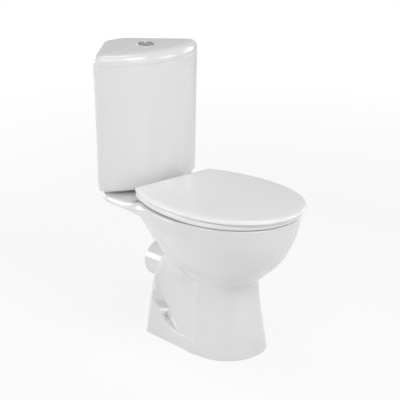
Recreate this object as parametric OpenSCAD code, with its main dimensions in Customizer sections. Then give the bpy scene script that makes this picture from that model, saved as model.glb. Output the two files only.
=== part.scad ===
// Corner toilet: a washdown pan with a three-cornered close-coupled cistern.
// Millimetres, +Z up, front towards -Y. The origin is on the floor, under the middle of the
// toilet's box. Every depth below is counted from the widest line of the rim, positive to the back.

/* [Pan] */
// Height of the rim
rim_z = 401; // [395:1:415]
// Widest width of the rim
rim_w = 357; // [345:1:365]
// Reach of the rim in front of its widest line
rim_front = 230; // [222:1:236]
// Width of the rim's flat top, from its outer to its inner edge
rim_land = 50; // [42:1:58]
// Step from the rim down to the shelf that carries the cistern
shelf_drop = 10; // [7:1:13]
// Thickness of the shelf
shelf_t = 16; // [14:1:20]
// Half width of the shelf beside the cistern
shelf_half = 166; // [158:1:170]
// Distance of the shelf's back in front of the cistern's back
shelf_in = 84; // [78:1:92]
// Width of the foot on the floor
foot_w = 219; // [205:1:235]
// Reach of the foot in front of the widest line
foot_front = 125; // [115:1:135]
// Reach of the foot behind the widest line
foot_back = 213; // [206:1:222]
// Thickness of the foot's wall on the floor
foot_wall = 14; // [11:1:18]
// Depth of the recess in each side of the foot
recess_depth = 17; // [10:1:20]
// Height of the bowl's lowest outside point
bowl_z = 196; // [190:1:204]

/* [Outlet] */
// Outside diameter of the outlet spigot
outlet_d = 102; // [96:1:106]
// Wall of the outlet spigot
outlet_wall = 8; // [6:0.5:10]
// Height of the outlet's centre
outlet_z = 180; // [174:1:186]
// Reach of the spigot's end behind the widest line
outlet_back = 274; // [264:1:284]
// Inside radius of the trap
trap_r = 32; // [28:0.5:34]
// Radius of the trap's bends
trap_bend = 45; // [42:1:47]

/* [Seat] */
// Overhang of the seat beyond the rim
seat_over = 3; // [1:0.5:5]
// Thickness of the seat
seat_t = 17; // [15:0.5:18]
// Gap under the seat, filled by its buffers
seat_gap = 3; // [2.5:0.5:5]
// Half width of the seat at its back corners
seat_back_half = 136; // [128:1:138]
// Width of the hole in the seat
seat_hole_w = 226; // [210:1:240]
// Reach of the seat's hole in front of the widest line
seat_hole_front = 176; // [168:1:182]
// Height of the crowned lid above the seat
lid_h = 13.5; // [12:0.5:14]
// Overhang of the lid beyond the seat
lid_over = 13; // [11:0.5:14]
// Thickness of the lid's skin
lid_skin = 4; // [3:0.5:5]

/* [Hinge] */
// Reach of the hinge axis behind the widest line
hinge_back = 199; // [195:1:201]
// Half the spacing of the hinge posts
hinge_half = 73; // [68:1:78]
// Radius of the hinge pins
pin_r = 4; // [3.5:0.1:4.5]
// Radial play of the seat and the lid on the pins
pin_play = 0.08; // [0.04:0.01:0.1]

/* [Cistern] */
// Width of the cistern across its front
cistern_w = 376; // [366:1:384]
// Bulge of the cistern's front
bulge = 79; // [70:1:84]
// Reach of the cistern's back behind the widest line
back_reach = 471; // [465:1:479]
// Half width of the flat across the back corner
corner_flat = 32; // [26:1:40]
// Height of the cistern body
cistern_h = 354.5; // [340:0.5:370]
// Wall of the cistern
cistern_wall = 10; // [8:0.5:12]
// Floor of the cistern
cistern_floor = 14; // [12:0.5:18]
// Narrowing of the cistern from top to bottom, on each side
cistern_taper = 6; // [2:0.5:9]
// Height of the cistern's lid
cistern_lid_h = 36.5; // [32:0.5:42]
// Compressed thickness of the gasket between cistern and shelf
gasket_t = 8; // [7:0.5:10]

/* [Flush valve] */
// Distance of the flush valve and button in front of the cistern's back
valve_in = 152; // [149:1:156]
// Outside radius of the flush valve's threaded outlet
outlet_thread_r = 29.5; // [27:0.5:31]
// Height of the overflow's lip above the cistern's floor
overflow_h = 242; // [226:1:251]
// Radius of the valve's cage
cage_r = 38; // [37:0.5:40]
// Half the spacing of the close-coupling bolts
bolt_half = 75; // [72:1:80]
// Radius of the close-coupling bolts
bolt_r = 4; // [3:0.5:5]

/* [Buttons] */
// Outside radius of the chrome bezel
bezel_r = 24; // [23:0.5:26]
// Radius of the pair of buttons
button_r = 17.5; // [16.5:0.1:18]
// Travel of each button
press = 6; // [4:0.5:6]
// Gap between the two buttons
button_gap = 0.8; // [0.6:0.1:1.2]

/* [Fill valve] */
// Distance of the fill valve in front of the cistern's back
inlet_in = 50; // [46:1:53]
// Radius of the half-inch inlet thread
inlet_r = 10.4; // [9:0.1:10.5]
// Height of the fill valve above the cistern's floor
fill_h = 267; // [246:1:273]
// Travel of the fill valve's float
float_travel = 14; // [10:1:14]

/* [Floor fixings] */
// Half the spacing of the floor screws
floor_half = 46; // [44:1:48]
// Reach of the floor fixings behind the widest line
floor_back = 134; // [130:1:138]
// Radius of the holes for the floor screws
floor_hole_r = 3.5; // [2.5:0.5:4]
// Height of the side screws
side_screw_z = 67; // [63:1:70]

/* [Hidden] */
$fn = 48;
eps = 0.01;
fit = 0.3; // clearance between pieces that pass or lie close to each other

// Colours of the pieces
china = [0.93, 0.93, 0.92];
seat_white = [0.95, 0.95, 0.95];
chrome = [0.75, 0.76, 0.78];
nylon = [0.88, 0.88, 0.86];
valve_blue = [0.25, 0.42, 0.62];
rubber_black = [0.12, 0.12, 0.12];
foam_black = [0.18, 0.18, 0.18];
steel = [0.66, 0.67, 0.68];
brass = [0.76, 0.62, 0.32];

// Levels
shelf_z = rim_z - shelf_drop;
shelf_under = shelf_z - shelf_t;
seat_z = rim_z + seat_gap;
seat_top = seat_z + seat_t;
axis_z = seat_z + seat_t / 2 + 0.25;
lid_z = seat_top + 0.5;
lid_top = lid_z + lid_h;
cistern_z = shelf_z + gasket_t;
floor_z = cistern_z + cistern_floor;
cistern_top = cistern_z + cistern_h;
lid_crown = cistern_top + cistern_lid_h;
overflow_z = floor_z + overflow_h;

// Plan positions
rim_half = rim_w / 2;
lid_front = rim_front + seat_over + lid_over;
wide_y = (lid_front - back_reach) / 2; // puts the origin under the middle of the toilet
lid_back = hinge_back + 10;
seat_back = lid_back - 1.2; // clears the lid's back edge as it swings down behind the hinge
shelf_back = back_reach - shelf_in;
valve_back = back_reach - valve_in;
inlet_back = back_reach - inlet_in;
tip_back = back_reach + corner_flat - cistern_w / 2;
wall_line = back_reach + corner_flat; // |x| + depth on the two faces along the walls

// ---- Helpers -------------------------------------------------------------------------------

// Everything is drawn from the rim's widest line and moved to the origin here.
module place() translate([0, wide_y, 0]) children();

module both_sides() {
    children();
    mirror([1, 0, 0]) children();
}

function lerp(a, b, t) = a + (b - a) * t;
function soft_min(a, b, k) = let(h = max(k - abs(a - b), 0) / k) min(a, b) - h * h * k / 4;
function soft_max(a, b, k) = -soft_min(-a, -b, k);
function smooth(t) = let(u = max(min(t, 1), 0)) u * u * (3 - 2 * u);

// Smooth curve through knots [position, value], level beyond its ends
function knot_slope(kn, i) =
    let(a = max(i - 1, 0), b = min(i + 1, len(kn) - 1)) (kn[b][1] - kn[a][1]) / (kn[b][0] - kn[a][0]);
function curve(kn, t) =
    t <= kn[0][0] ? kn[0][1] :
    t >= kn[len(kn) - 1][0] ? kn[len(kn) - 1][1] :
    let(
        i = len([for (k = kn) if (k[0] <= t) 1]) - 1,
        w = kn[i + 1][0] - kn[i][0],
        u = (t - kn[i][0]) / w
    )
    (2 * u * u * u - 3 * u * u + 1) * kn[i][1] + (u * u * u - 2 * u * u + u) * w * knot_slope(kn, i)
    + (3 * u * u - 2 * u * u * u) * kn[i + 1][1] + (u * u * u - u * u) * w * knot_slope(kn, i + 1);

// Distance to a round-cornered shape from its distances past the two sides
function rounded(dx, dy, r) =
    norm([max(dx + r, 0), max(dy + r, 0)]) + min(max(dx + r, dy + r), 0) - r;

// Distance to an oval, its half width w and its length l
function oval(x, y, w, l, power) =
    (pow(pow(abs(x) / w, power) + pow(abs(y) / l, power), 1 / power) - 1) * w;

// Point of an egg-shaped outline at the angle a
function egg_point(a, w, front, back, power) = [
    w * sign(cos(a)) * pow(abs(cos(a)), 2 / power),
    (sin(a) < 0 ? front : back) * sign(sin(a)) * pow(abs(sin(a)), 2 / power)
];

// A closed solid through rings of points, capped at both ends
module loft(rings) {
    n = len(rings[0]);
    last = len(rings) - 1;
    polyhedron(
        points = [for (r = rings) each r],
        faces = concat(
            [[for (i = [0:n - 1]) i]],
            [for (k = [0:last - 1], i = [0:n - 1])
                let(j = (i + 1) % n) each [
                    [k * n + i, (k + 1) * n + i, (k + 1) * n + j],
                    [k * n + i, (k + 1) * n + j, k * n + j]
                ]],
            [[for (i = [n - 1:-1:0]) last * n + i]]
        )
    );
}

// A closed ring-shaped solid: the last outline joins the first one again
module ring_loft(rings) {
    n = len(rings[0]);
    m = len(rings);
    polyhedron(
        points = [for (r = rings) each r],
        faces = [for (k = [0:m - 1], i = [0:n - 1])
            let(j = (i + 1) % n, a = k * n, b = ((k + 1) % m) * n) each [
                [a + i, b + i, b + j],
                [a + i, b + j, a + j]
            ]]
    );
}

function at_height(outline, z) = [for (p = outline) [p[0], p[1], z]];
function mirrored(half) = concat(half, [for (i = [len(half) - 2:-1:1]) [-half[i][0], half[i][1]]]);

module tube(r, bore, h) {
    difference() {
        cylinder(r = r, h = h);
        translate([0, 0, -1]) cylinder(r = bore, h = h + 2);
    }
}

// A cylinder along X, from x to x + h
module along_x(r, x, h) translate([x, 0, 0]) rotate([0, 90, 0]) cylinder(r = r, h = h);

// A cylinder along Y, centred
module along_y(r, h) rotate([90, 0, 0]) cylinder(r = r, h = h, center = true);

// ---- Pan -----------------------------------------------------------------------------------

// Spread of the bowl from its lowest point to the rim, as a share of the rim
bowl_spread = [[0, 0.42], [0.04, 0.47], [0.13, 0.56], [0.26, 0.685], [0.46, 0.825], [0.7, 0.935], [1, 1]];
rim_power = 2.14;
bowl_back = [150, 230]; // at its lowest point and at the rim
bowl_rise = 0.24; // slope of its underside towards the back

function bowl_share(z) = (z - bowl_z) / (rim_z - bowl_z);
function bowl_form(x, y, z) =
    let(
        u = max(min(bowl_share(z), 1), 0),
        s = curve(bowl_spread, u),
        back = lerp(bowl_back[0], bowl_back[1], u) * pow(s, 0.25)
    )
    max(oval(x, y, rim_half * s, y < 0 ? rim_front * s : back, rim_power),
        bowl_z + bowl_rise * max(y, 0) - z);

// Rounded column under the front of the bowl; its sides are a share of the foot's
column_top = 240;
column_width = [[0, 1], [30, 0.95], [80, 0.867], [140, 0.785], [200, 0.73], [240, 0.712]];
column_front = [[0, 1], [30, 0.976], [80, 0.928], [140, 0.88], [200, 0.84], [240, 0.824]];
column_back = [[0, 100], [60, 80], [120, 70], [240, 66]];

function column_form(x, y, z) =
    let(
        w = foot_w / 2 * curve(column_width, z),
        l = y < 0 ? foot_front * curve(column_front, z) : curve(column_back, z)
    )
    max(oval(x, y, w, l, 2.25), z - column_top);

// Web and leg behind the column, up to the shelf
web_width = [[0, 0.995], [40, 0.93], [90, 0.845], [150, 0.763], [200, 0.7], [235, 0.655],
             [262, 0.7], [300, 0.8], [345, 0.965], [376, 1.45]];
web_back = [[0, 0], [60, 3], [150, 4], [200, -4], [235, -11], [262, 0], [300, 18], [345, 58], [376, 96]];
web_corner = [[0, 25], [150, 34], [200, 50], [240, 64], [262, 52], [300, 50], [376, 40]];
web_front = [[0, -3], [60, 4], [160, 9]];

function web_half(z) = foot_w / 2 * curve(web_width, z);
function web_form(x, y, z) =
    max(
        rounded(abs(x) - web_half(z), y - foot_back - curve(web_back, z), curve(web_corner, z)),
        rounded(abs(x) - web_half(z), curve(web_front, z) - y, 0),
        z - shelf_under
    );

// Hollow in the foot's side, deepest along its curved back edge and fading out to the front and top
recess_at = [55, 180];
recess_size = [136, 142];
recess_top = 226;
recess_start = 30;

// Depth of the recess's curved back edge at a height
function recess_edge(z) =
    let(v = max(min((recess_at[1] - z) / recess_size[1], 1), 0))
    recess_at[0] + recess_size[0] * sqrt(1 - v * v);

function recess_form(x, y, z) =
    let(
        u = max(y - recess_at[0], 0) / recess_size[0],
        v = max(recess_at[1] - z, 0) / recess_size[1],
        deep = recess_depth * smooth((y - recess_start) / 125) * smooth((recess_top - z) / 140)
    )
    max((norm([u, v]) - 1) * recess_size[0], web_half(z) - deep - abs(x));

// Housing under the shelf for the flush water
duct_half = 50;
duct_start = 109;
duct_back = shelf_back - 20;
duct_under = [[169, 112], [229, 84], [289, 67], [369, 57]]; // [depth, drop below the rim]

function duct_form(x, y, z) =
    let(plan = rounded(abs(x) - duct_half, y - duct_back, 40))
    rounded(rounded(plan, rim_z - curve(duct_under, y) - z, 0), duct_start - y, 0);

shelf_sides = [[0, 12], [143, -10], [313, 0]]; // [depth, extra half width]

// Height of the top behind the rim: level under the hinges, falling to the shelf beside and behind them
platform_half = 92;
platform_back = hinge_back + 16;
fall_start = 150;

function top_level(x, y) =
    let(
        start = lerp(platform_back, fall_start, smooth((abs(x) - platform_half) / 36)),
        fallen = smooth((y - start) / (platform_back + 14 - start))
    )
    rim_z - shelf_drop * fallen;

function shelf_form(x, y, z) =
    let(
        side = abs(x) - shelf_half - curve(shelf_sides, y),
        slope = (abs(x) + y - wall_line + 22) / sqrt(2),
        plan = soft_max(soft_max(side, slope, 20), y - shelf_back, 20)
    )
    soft_max(max(plan, 49 - y), max(z - top_level(x, y), shelf_under - z), 6);

// Width of the soft join between bowl and foot: narrow under the front, wide above and behind
function join_width(y, z) =
    let(front = lerp(5, 84, smooth((z - bowl_z - 6) / 80)))
    front + max(60 - front, 0) * smooth((y - 10) / 90);

// The whole outside of the pan, apart from the spigot: below zero inside
function pan_form(x, y, z) =
    let(
        side = soft_max(web_form(x, y, z), -recess_form(x, y, z), 5),
        leg = soft_min(side, duct_form(x, y, z), 30),
        foot = soft_min(leg, column_form(x, y, z), 14),
        bowl = soft_min(foot, bowl_form(x, y, z), join_width(y, z))
    )
    max(soft_min(bowl, shelf_form(x, y, z), 20), z - top_level(x, y));

// Distance from the pan's middle line to its outside, searched by halving
pan_middle = 39;
function reach(a, z, inset, lo = 2, hi = 460, steps = 20) =
    steps == 0 ? (lo + hi) / 2 :
    let(m = (lo + hi) / 2)
    pan_form(m * cos(a), pan_middle + m * sin(a), z) + inset < 0
        ? reach(a, z, inset, m, hi, steps - 1)
        : reach(a, z, inset, lo, m, steps - 1);

// Directions of a ring's points; on the sides they draw together at the recess's back edge.
side_x = 76;
side_end = 215;
function side_angles(z) =
    let(
        level = min(z, recess_at[1]),
        edge = pan_middle + (recess_edge(level) - pan_middle) * side_x / (web_half(level) - 7),
        depths = concat(
            [for (i = [0:6]) lerp(0, edge - 30, i / 7)],
            [for (d = [-30, -18, -10, -5, -1, 4, 10]) edge + d],
            [for (f = [0.35, 0.55, 0.68, 0.78, 0.86, 0.93, 1]) lerp(edge + 10, side_end, f)]
        )
    )
    [for (d = depths) atan2(d - pan_middle, side_x)];
function pan_angles(z) =
    let(side = side_angles(z))
    concat(
        [for (a = [-150:6:-30]) a],
        side,
        [for (a = [69:6:111]) a],
        [for (i = [len(side) - 1:-1:0]) 180 - side[i]]
    );
function pan_ring(z, inset = 0, at = undef) = [
    for (a = pan_angles(z))
        let(r = reach(a, z, inset))
        [r * cos(a), pan_middle + r * sin(a), is_undef(at) ? z : at]
];

// Inside of the bowl: [height, half width, front, back]
rim_in_half = rim_half - rim_land;
rim_in_front = rim_front - rim_land + 2;
bowl_inside = [
    [rim_z, rim_in_half, rim_in_front, 154],
    [rim_z - 40, rim_in_half, rim_in_front, 154],
    [rim_z - 40.5, rim_in_half + 14, rim_in_front + 11, 165],
    [rim_z - 60, rim_in_half + 10, rim_in_front + 6, 156],
    [rim_z - 85, rim_in_half + 1, rim_in_front - 3, 137],
    [285, rim_in_half - 14, rim_in_front - 23, 98],
    [262, 101, 138, 50],
    [235, 86, 112, 40],
    [205, 67, 84, 38],
    [175, 56, 66, 36],
    [140, 46, 50, 34],
    [110, 38, 38, 32],
    [90, 32, 30, 28],
    [78, 22, 20, 20],
];

hollow_h = 55;

module pan_shell() {
    outer_heights = [12, 22, 30, 35, 38, 41, 44, 48, 53, 59, 66, 74, 83, 93, 104, 115, 126, 137, 148, 159,
                     170, 180, 189, 195, 199, 204, 210, 217, 225, 236, 248, 262, 280, 300, 320, 338];
    shelf_heights = [for (h = [-18, -10, -5, -1, 2, 6, shelf_t - 5, shelf_t - 2]) shelf_under + h];
    step_heights = [for (h = [2, 4, 6]) shelf_z + h];
    loft(concat(
        [pan_ring(hollow_h - 10, foot_wall + 8, hollow_h), pan_ring(hollow_h - 10, foot_wall),
         pan_ring(25, foot_wall), pan_ring(2, foot_wall, 0)],
        [pan_ring(2, 0, 0)],
        [for (z = concat(outer_heights, shelf_heights)) pan_ring(z)],
        [pan_ring(shelf_z - 0.5, 0, shelf_z), pan_ring(shelf_z + 0.5, 0, shelf_z)],
        [for (z = step_heights) pan_ring(z)],
        [pan_ring(rim_z - 3), pan_ring(rim_z - 3, 2, rim_z)],
        [for (b = bowl_inside)
            [for (a = pan_angles(rim_z))
                let(p = egg_point(a, b[1], b[2], b[3], 2.2)) [p[0], p[1], b[0]]]]
    ));
}

// Bend of the trap in the middle plane, of section radius r, from the angle a to the angle b
module trap_turn(depth, z, r, a, b) {
    translate([0, depth, z]) rotate([90, 0, 90]) rotate([0, 0, a])
        rotate_extrude(angle = b - a) translate([trap_bend, 0]) circle(r = r);
}

trap_low = 76 + trap_r;
trap_rise = 35 + trap_bend;
crown_at = trap_rise + trap_bend;
drop_at = crown_at + 2 * trap_bend * cos(30);

// Each part is a little wider than the one before where they pass into each other.
module trapway() {
    translate([0, 5, trap_low]) rotate([-90, 0, 0]) cylinder(r = trap_r - 1, h = 31);
    trap_turn(35, trap_low + trap_bend, trap_r, -90, 0);
    translate([0, trap_rise, trap_low + trap_bend - 1])
        cylinder(r = trap_r - 1, h = outlet_z - trap_low - trap_bend + 2);
    trap_turn(crown_at, outlet_z, trap_r, 29, 180);
    trap_turn(drop_at, outlet_z + trap_bend, trap_r + 1, -150, -90);
    translate([0, drop_at - 1, outlet_z]) rotate([-90, 0, 0])
        cylinder(r = outlet_d / 2 - outlet_wall, h = outlet_back);
}

// Flush water passes down through the shelf, then forward to the back of the rim.
flush_hole_r = outlet_thread_r + 3.5;
flush_r = 18;
flush_z = shelf_z - 9 - flush_r;
module flush_way() {
    translate([0, valve_back, flush_z - 12]) cylinder(r = flush_hole_r, h = shelf_z - flush_z + 13);
    translate([0, 145, flush_z]) rotate([-90, 0, 0]) cylinder(r = flush_r, h = valve_back - 145);
}

spigot_l = 50;
hinge_screw_back = hinge_back - 18;
anchor_r = 7;
anchor_depth = 36;
bracket_x = [floor_half - 8, 60];
wing_reach = 20;
spot_x = 80;

module pan() {
    color(china) place() difference() {
        union() {
            pan_shell();
            translate([0, 150, outlet_z]) rotate([-90, 0, 0])
                cylinder(r = outlet_d / 2, h = outlet_back - 150, $fn = 96);
            translate([0, 150, outlet_z]) rotate([-90, 0, 0])
                cylinder(r1 = outlet_d / 2 + 3, r2 = outlet_d / 2 + 0.6, h = outlet_back - spigot_l - 150,
                         $fn = 96);
        }
        trapway();
        flush_way();
        both_sides() {
            translate([hinge_half, hinge_screw_back, rim_z - anchor_depth])
                cylinder(r = anchor_r, h = anchor_depth + 1);
            translate([bolt_half, valve_back, shelf_under - 30]) cylinder(r = bolt_r + 1, h = shelf_t + 31);
            translate([bolt_half, valve_back, shelf_under - 20]) cylinder(r = wing_reach + 2, h = 20);
            translate([0, floor_back, side_screw_z]) along_x(3.5, 50, 60);
            translate([0, floor_back, side_screw_z]) along_x(7, spot_x, 30);
        }
        translate([-bracket_x[1], floor_back - 26, -1]) cube([2 * bracket_x[1], 58, side_screw_z + 15]);
    }
}

// ---- Cistern and its lid -------------------------------------------------------------------

front_r = (pow(cistern_w / 2, 2) + pow(bulge, 2)) / (2 * bulge);
front_middle = tip_back - bulge + front_r;
tip_r = 16;
back_r = 30;

// Plan of the cistern, drawn in by e: arched front, rounded tips, two faces along the walls
function corner_plan(e) =
    let(
        r = front_r - e,
        k = wall_line - e * sqrt(2),
        t = max(tip_r - e / 2, 3),
        m = k - t * sqrt(2) - front_middle,
        q = sqrt(2 * pow(r - t, 2) - m * m),
        tip = [(m + q) / 2, front_middle + (m - q) / 2],
        a = atan2(tip[1] - front_middle, tip[0]),
        b = max(back_r - e, 3),
        back = back_reach - e - b,
        corner = [k - b * sqrt(2) - back, back],
        half = concat(
            [for (i = [0:12]) let(f = lerp(-90, a, i / 12)) [r * cos(f), front_middle + r * sin(f)]],
            [for (i = [1:5]) let(f = lerp(a, 45, i / 5)) tip + t * [cos(f), sin(f)]],
            [for (i = [0:3]) let(f = lerp(45, 90, i / 3)) corner + b * [cos(f), sin(f)]],
            [[0, back_reach - e]]
        )
    )
    mirrored(half);

// Outside of the cistern: [height above its underside, share of the taper, drawn in]
cistern_outside = [[0, 1, 13], [2, 1, 7], [6, 1, 2.5], [13, 0.97, 0], [cistern_h, 0, 0]];
inlet_half = inlet_r + 0.6;
wall_screw = [104, cistern_top - 43.5];

module cistern() {
    inner_foot = cistern_taper * 0.96 + cistern_wall;
    color(china) place() difference() {
        loft(concat(
            [for (s = cistern_outside) at_height(corner_plan(cistern_taper * s[1] + s[2]), cistern_z + s[0])],
            [at_height(corner_plan(cistern_wall), cistern_top),
             at_height(corner_plan(inner_foot), floor_z + 10),
             at_height(corner_plan(inner_foot + 3), floor_z + 2.5),
             at_height(corner_plan(inner_foot + 9), floor_z)]
        ));
        translate([0, valve_back, cistern_z - 1]) cylinder(r = outlet_thread_r + 0.5, h = cistern_floor + 2);
        translate([0, inlet_back, cistern_z - 1]) cylinder(r = inlet_half, h = cistern_floor + 2);
        both_sides() {
            translate([bolt_half, valve_back, cistern_z - 1]) cylinder(r = bolt_r + 1, h = cistern_floor + 2);
            translate([wall_screw[0], wall_line - wall_screw[0], wall_screw[1]])
                rotate([0, 90, 45]) cylinder(r = 4, h = 60, center = true);
        }
    }
}

// Domed top: [share of the plan about the button, height above the seam]
lid_dome = [[0.93, 0.84], [0.84, 0.905], [0.7, 0.95], [0.5, 0.985], [0.3, 1]];
lid_edge = [[0, 0], [1.2, 0.22], [0.4, 0.1], [0, 0.3], [2.5, 0.52], [7, 0.7]]; // drawn in, height share
lid_china = 8;
lip_in = cistern_wall + 2;
lip_h = 8;

function shrunk(outline, s) = [for (p = outline) [p[0] * s, lerp(valve_back, p[1], s)]];

module cistern_lid() {
    color(china) place() difference() {
        loft(concat(
            [at_height(corner_plan(lip_in + 14), lid_crown - lid_china - 6),
             at_height(corner_plan(lip_in + 9), cistern_top + 10),
             at_height(corner_plan(lip_in + 7), cistern_top - lip_h),
             at_height(corner_plan(lip_in), cistern_top - lip_h),
             at_height(corner_plan(lip_in), cistern_top),
             at_height(corner_plan(1.2), cistern_top)],
            [for (e = [[0, 0.06], [0, 0.3], [2.5, 0.52], [7, 0.7]])
                at_height(corner_plan(e[0]), cistern_top + e[1] * cistern_lid_h)],
            [for (d = lid_dome)
                at_height(shrunk(corner_plan(0), d[0]), cistern_top + d[1] * cistern_lid_h)]
        ));
        translate([0, valve_back, lid_crown - 60]) cylinder(r = bezel_r - 4.5, h = 61);
    }
}

// ---- Seat and lid --------------------------------------------------------------------------

seat_corner = 8;
seat_slant = 26; // slope of the sides where they leave the back corners, in degrees

// Outline of the seat, drawn in by e: oval front, sides narrowing to a straight back
function seat_plan(e, back = seat_back) =
    let(
        w = rim_half + seat_over - e,
        front = rim_front + seat_over - e,
        r = seat_corner - e / 2,
        side = [seat_back_half - e, back - e - r + r * sin(seat_slant)],
        middle = [side[0] - r * cos(seat_slant), back - e - r],
        half = concat(
            [for (i = [0:13]) let(a = 90 * i / 13)
                [w * pow(sin(a), 2 / rim_power), -front * pow(cos(a), 2 / rim_power)]],
            [for (i = [1:6]) let(s = i / 7) [w - (w - side[0]) * pow(s, 2.1), side[1] * s]],
            [for (i = [0:4]) let(a = lerp(seat_slant, 90, i / 4)) middle + r * [cos(a), sin(a)]],
            [[middle[0] / 2, back - e], [0, back - e]]
        )
    )
    mirrored(half);

hole_middle = -64;
hole_half = seat_hole_w / 2;
hole_back = 100;

// Point of the seat's hole, drawn in by e, in line with the outline point p
function hole_point(p, e) =
    let(
        a = atan2(p[1] - hole_middle, p[0]),
        l = (p[1] < hole_middle ? seat_hole_front + hole_middle : hole_back - hole_middle) + e,
        w = hole_half + e,
        r = pow(pow(abs(cos(a)) / w, 2.2) + pow(abs(sin(a)) / l, 2.2), -1 / 2.2)
    )
    [r * cos(a), hole_middle + r * sin(a)];

function across(t, z) = [for (p = seat_plan(0)) let(q = lerp(p, hole_point(p, 0), t)) [q[0], q[1], z]];
function hole_ring(e, z) = [for (p = seat_plan(0)) let(q = hole_point(p, e)) [q[0], q[1], z]];

// Along X from the middle: seat knuckle, post, lid knuckle
post_half = 11;
knuckle_r = 7.5;
pin_x = [hinge_half - post_half - 24, hinge_half + post_half + 14];
notch_x = [hinge_half - post_half - 2, hinge_half + post_half + 16];

module seat_ring() {
    color(seat_white) place() difference() {
        ring_loft([
            at_height(seat_plan(4), seat_z),
            at_height(seat_plan(0.6), seat_z + 3.5),
            at_height(seat_plan(0), seat_z + seat_t * 0.5),
            at_height(seat_plan(1.4), seat_z + seat_t * 0.84),
            across(0.09, seat_top - 0.2),
            across(0.45, seat_top),
            hole_ring(12, seat_top - 1.8),
            hole_ring(2.5, seat_z + seat_t * 0.62),
            hole_ring(0, seat_z + 4),
            hole_ring(3, seat_z),
        ]);
        both_sides() {
            translate([notch_x[0], hinge_back - 12, seat_z - 1])
                cube([notch_x[1] - notch_x[0], 40, seat_t + 2]);
            translate([0, hinge_back, axis_z])
                along_x(pin_r + pin_play, pin_x[0] - 1, notch_x[0] - pin_x[0] + 2);
        }
    }
}

buffer_r = 8;
module seat_buffers() {
    color(seat_white) place() both_sides() {
        for (p = [[62, -seat_hole_front - 14], [hole_half + 32, 60]])
            translate([p[0], p[1], rim_z + fit]) cylinder(r = buffer_r, h = seat_gap - fit);
    }
}

lid_rib = 6;
module lid_shell() {
    loft([
        at_height(lid_plan(lid_over + lid_skin + 8), lid_top - lid_skin - 0.6),
        at_height(lid_plan(lid_skin + 3.5), lid_top - lid_skin - 2.6),
        at_height(lid_plan(lid_skin), lid_z + 3),
        at_height(lid_plan(lid_skin), lid_z),
        at_height(lid_plan(1), lid_z),
        at_height(lid_plan(0), lid_z + 2.2),
        at_height(lid_plan(0.6), lid_z + lid_h * 0.4),
        at_height(lid_plan(3), lid_z + lid_h * 0.66),
        at_height(lid_plan(9), lid_z + lid_h * 0.86),
        at_height(lid_plan(24), lid_z + lid_h * 0.95),
        at_height(lid_plan(52), lid_top),
    ]);
}

// Outline of the lid, drawn in by e; its back lies over the seat's back
function lid_plan(e) =
    let(s = (rim_front + seat_over + lid_over - e) / (rim_front + seat_over))
    [for (p = seat_plan(0, lid_back)) [
        p[0] * (1 - (e - 2) / rim_half),
        p[1] * (p[1] < 0 ? s : 1 - e / lid_back)
    ]];

module seat_lid() {
    knuckle_x = hinge_half + post_half + 1;
    color(seat_white) place() difference() {
        union() {
            lid_shell();
            both_sides() {
                translate([0, hinge_back, axis_z]) along_x(knuckle_r, knuckle_x, 12);
                translate([knuckle_x, hinge_back - lid_rib, axis_z])
                    cube([12, 2 * lid_rib, lid_top - 2 - axis_z]);
            }
        }
        both_sides() translate([0, hinge_back, axis_z]) along_x(pin_r + pin_play, knuckle_x - 1, 14);
    }
}

module lid_buffers() {
    color(seat_white) place() both_sides() {
        for (p = [[50, -seat_hole_front - 26], [hole_half + 36, 30]])
            translate([p[0], p[1], seat_top + fit]) cylinder(r = 6, h = lid_top - lid_skin - 2 - seat_top);
    }
}

post_plate = seat_gap - 0.5; // clears the underside of the seat
screw_head = 2.1;
module hinge_posts() {
    color(chrome) place() both_sides() translate([hinge_half, 0, 0]) difference() {
        union() {
            translate([-post_half, hinge_back, axis_z]) rotate([0, 90, 0])
                cylinder(r = knuckle_r, h = 2 * post_half);
            translate([-post_half, hinge_back - knuckle_r, rim_z])
                cube([2 * post_half, 2 * knuckle_r, axis_z - rim_z]);
            translate([-post_half, hinge_screw_back, rim_z])
                cube([2 * post_half, hinge_back - hinge_screw_back, post_plate]);
            translate([0, hinge_screw_back, rim_z]) cylinder(r = post_half, h = post_plate);
        }
        translate([-post_half - 1, hinge_back, axis_z]) rotate([0, 90, 0])
            cylinder(r = pin_r, h = 2 * post_half + 2);
        translate([0, hinge_screw_back, rim_z - 1]) cylinder(r = 3, h = post_plate + 2);
        translate([0, hinge_screw_back, rim_z + post_plate - screw_head - 0.2])
            cylinder(r1 = 3, r2 = 5.5, h = 2.5);
    }
}

module hinge_pins() {
    color(steel) place() both_sides()
        translate([0, hinge_back, axis_z]) along_x(pin_r, pin_x[0], pin_x[1] - pin_x[0] - 0.7);
}

module hinge_screws() {
    color(steel) place() both_sides() translate([hinge_half, hinge_screw_back, 0]) difference() {
        union() {
            translate([0, 0, rim_z - anchor_depth + 4])
                cylinder(r = 2.9, h = anchor_depth - 4 + post_plate - screw_head + 0.1);
            translate([0, 0, rim_z + post_plate - screw_head]) cylinder(r1 = 2.9, r2 = 4.9, h = 1.8);
        }
        translate([-0.6, -3, rim_z + post_plate - 1.3]) cube([1.2, 6, 2]);
    }
}

module hinge_anchors() {
    color(rubber_black) place() both_sides()
        translate([hinge_half, hinge_screw_back, rim_z - anchor_depth + 1])
            tube(anchor_r, 2.9, anchor_depth - 1);
}

// ---- Buttons -------------------------------------------------------------------------------

rod_x = 10;
full_y = -5;
half_y = 8;
split_y = 3;
rod_r = 2;
bezel_h = 3.5;
button_top = lid_crown + 2.5;
button_t = 5;
boss_z = button_top - button_t - 7;
plate_z = lid_crown - 22;
bezel_bore = button_r + 0.6;
shank_r = bezel_r - 5;

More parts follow.
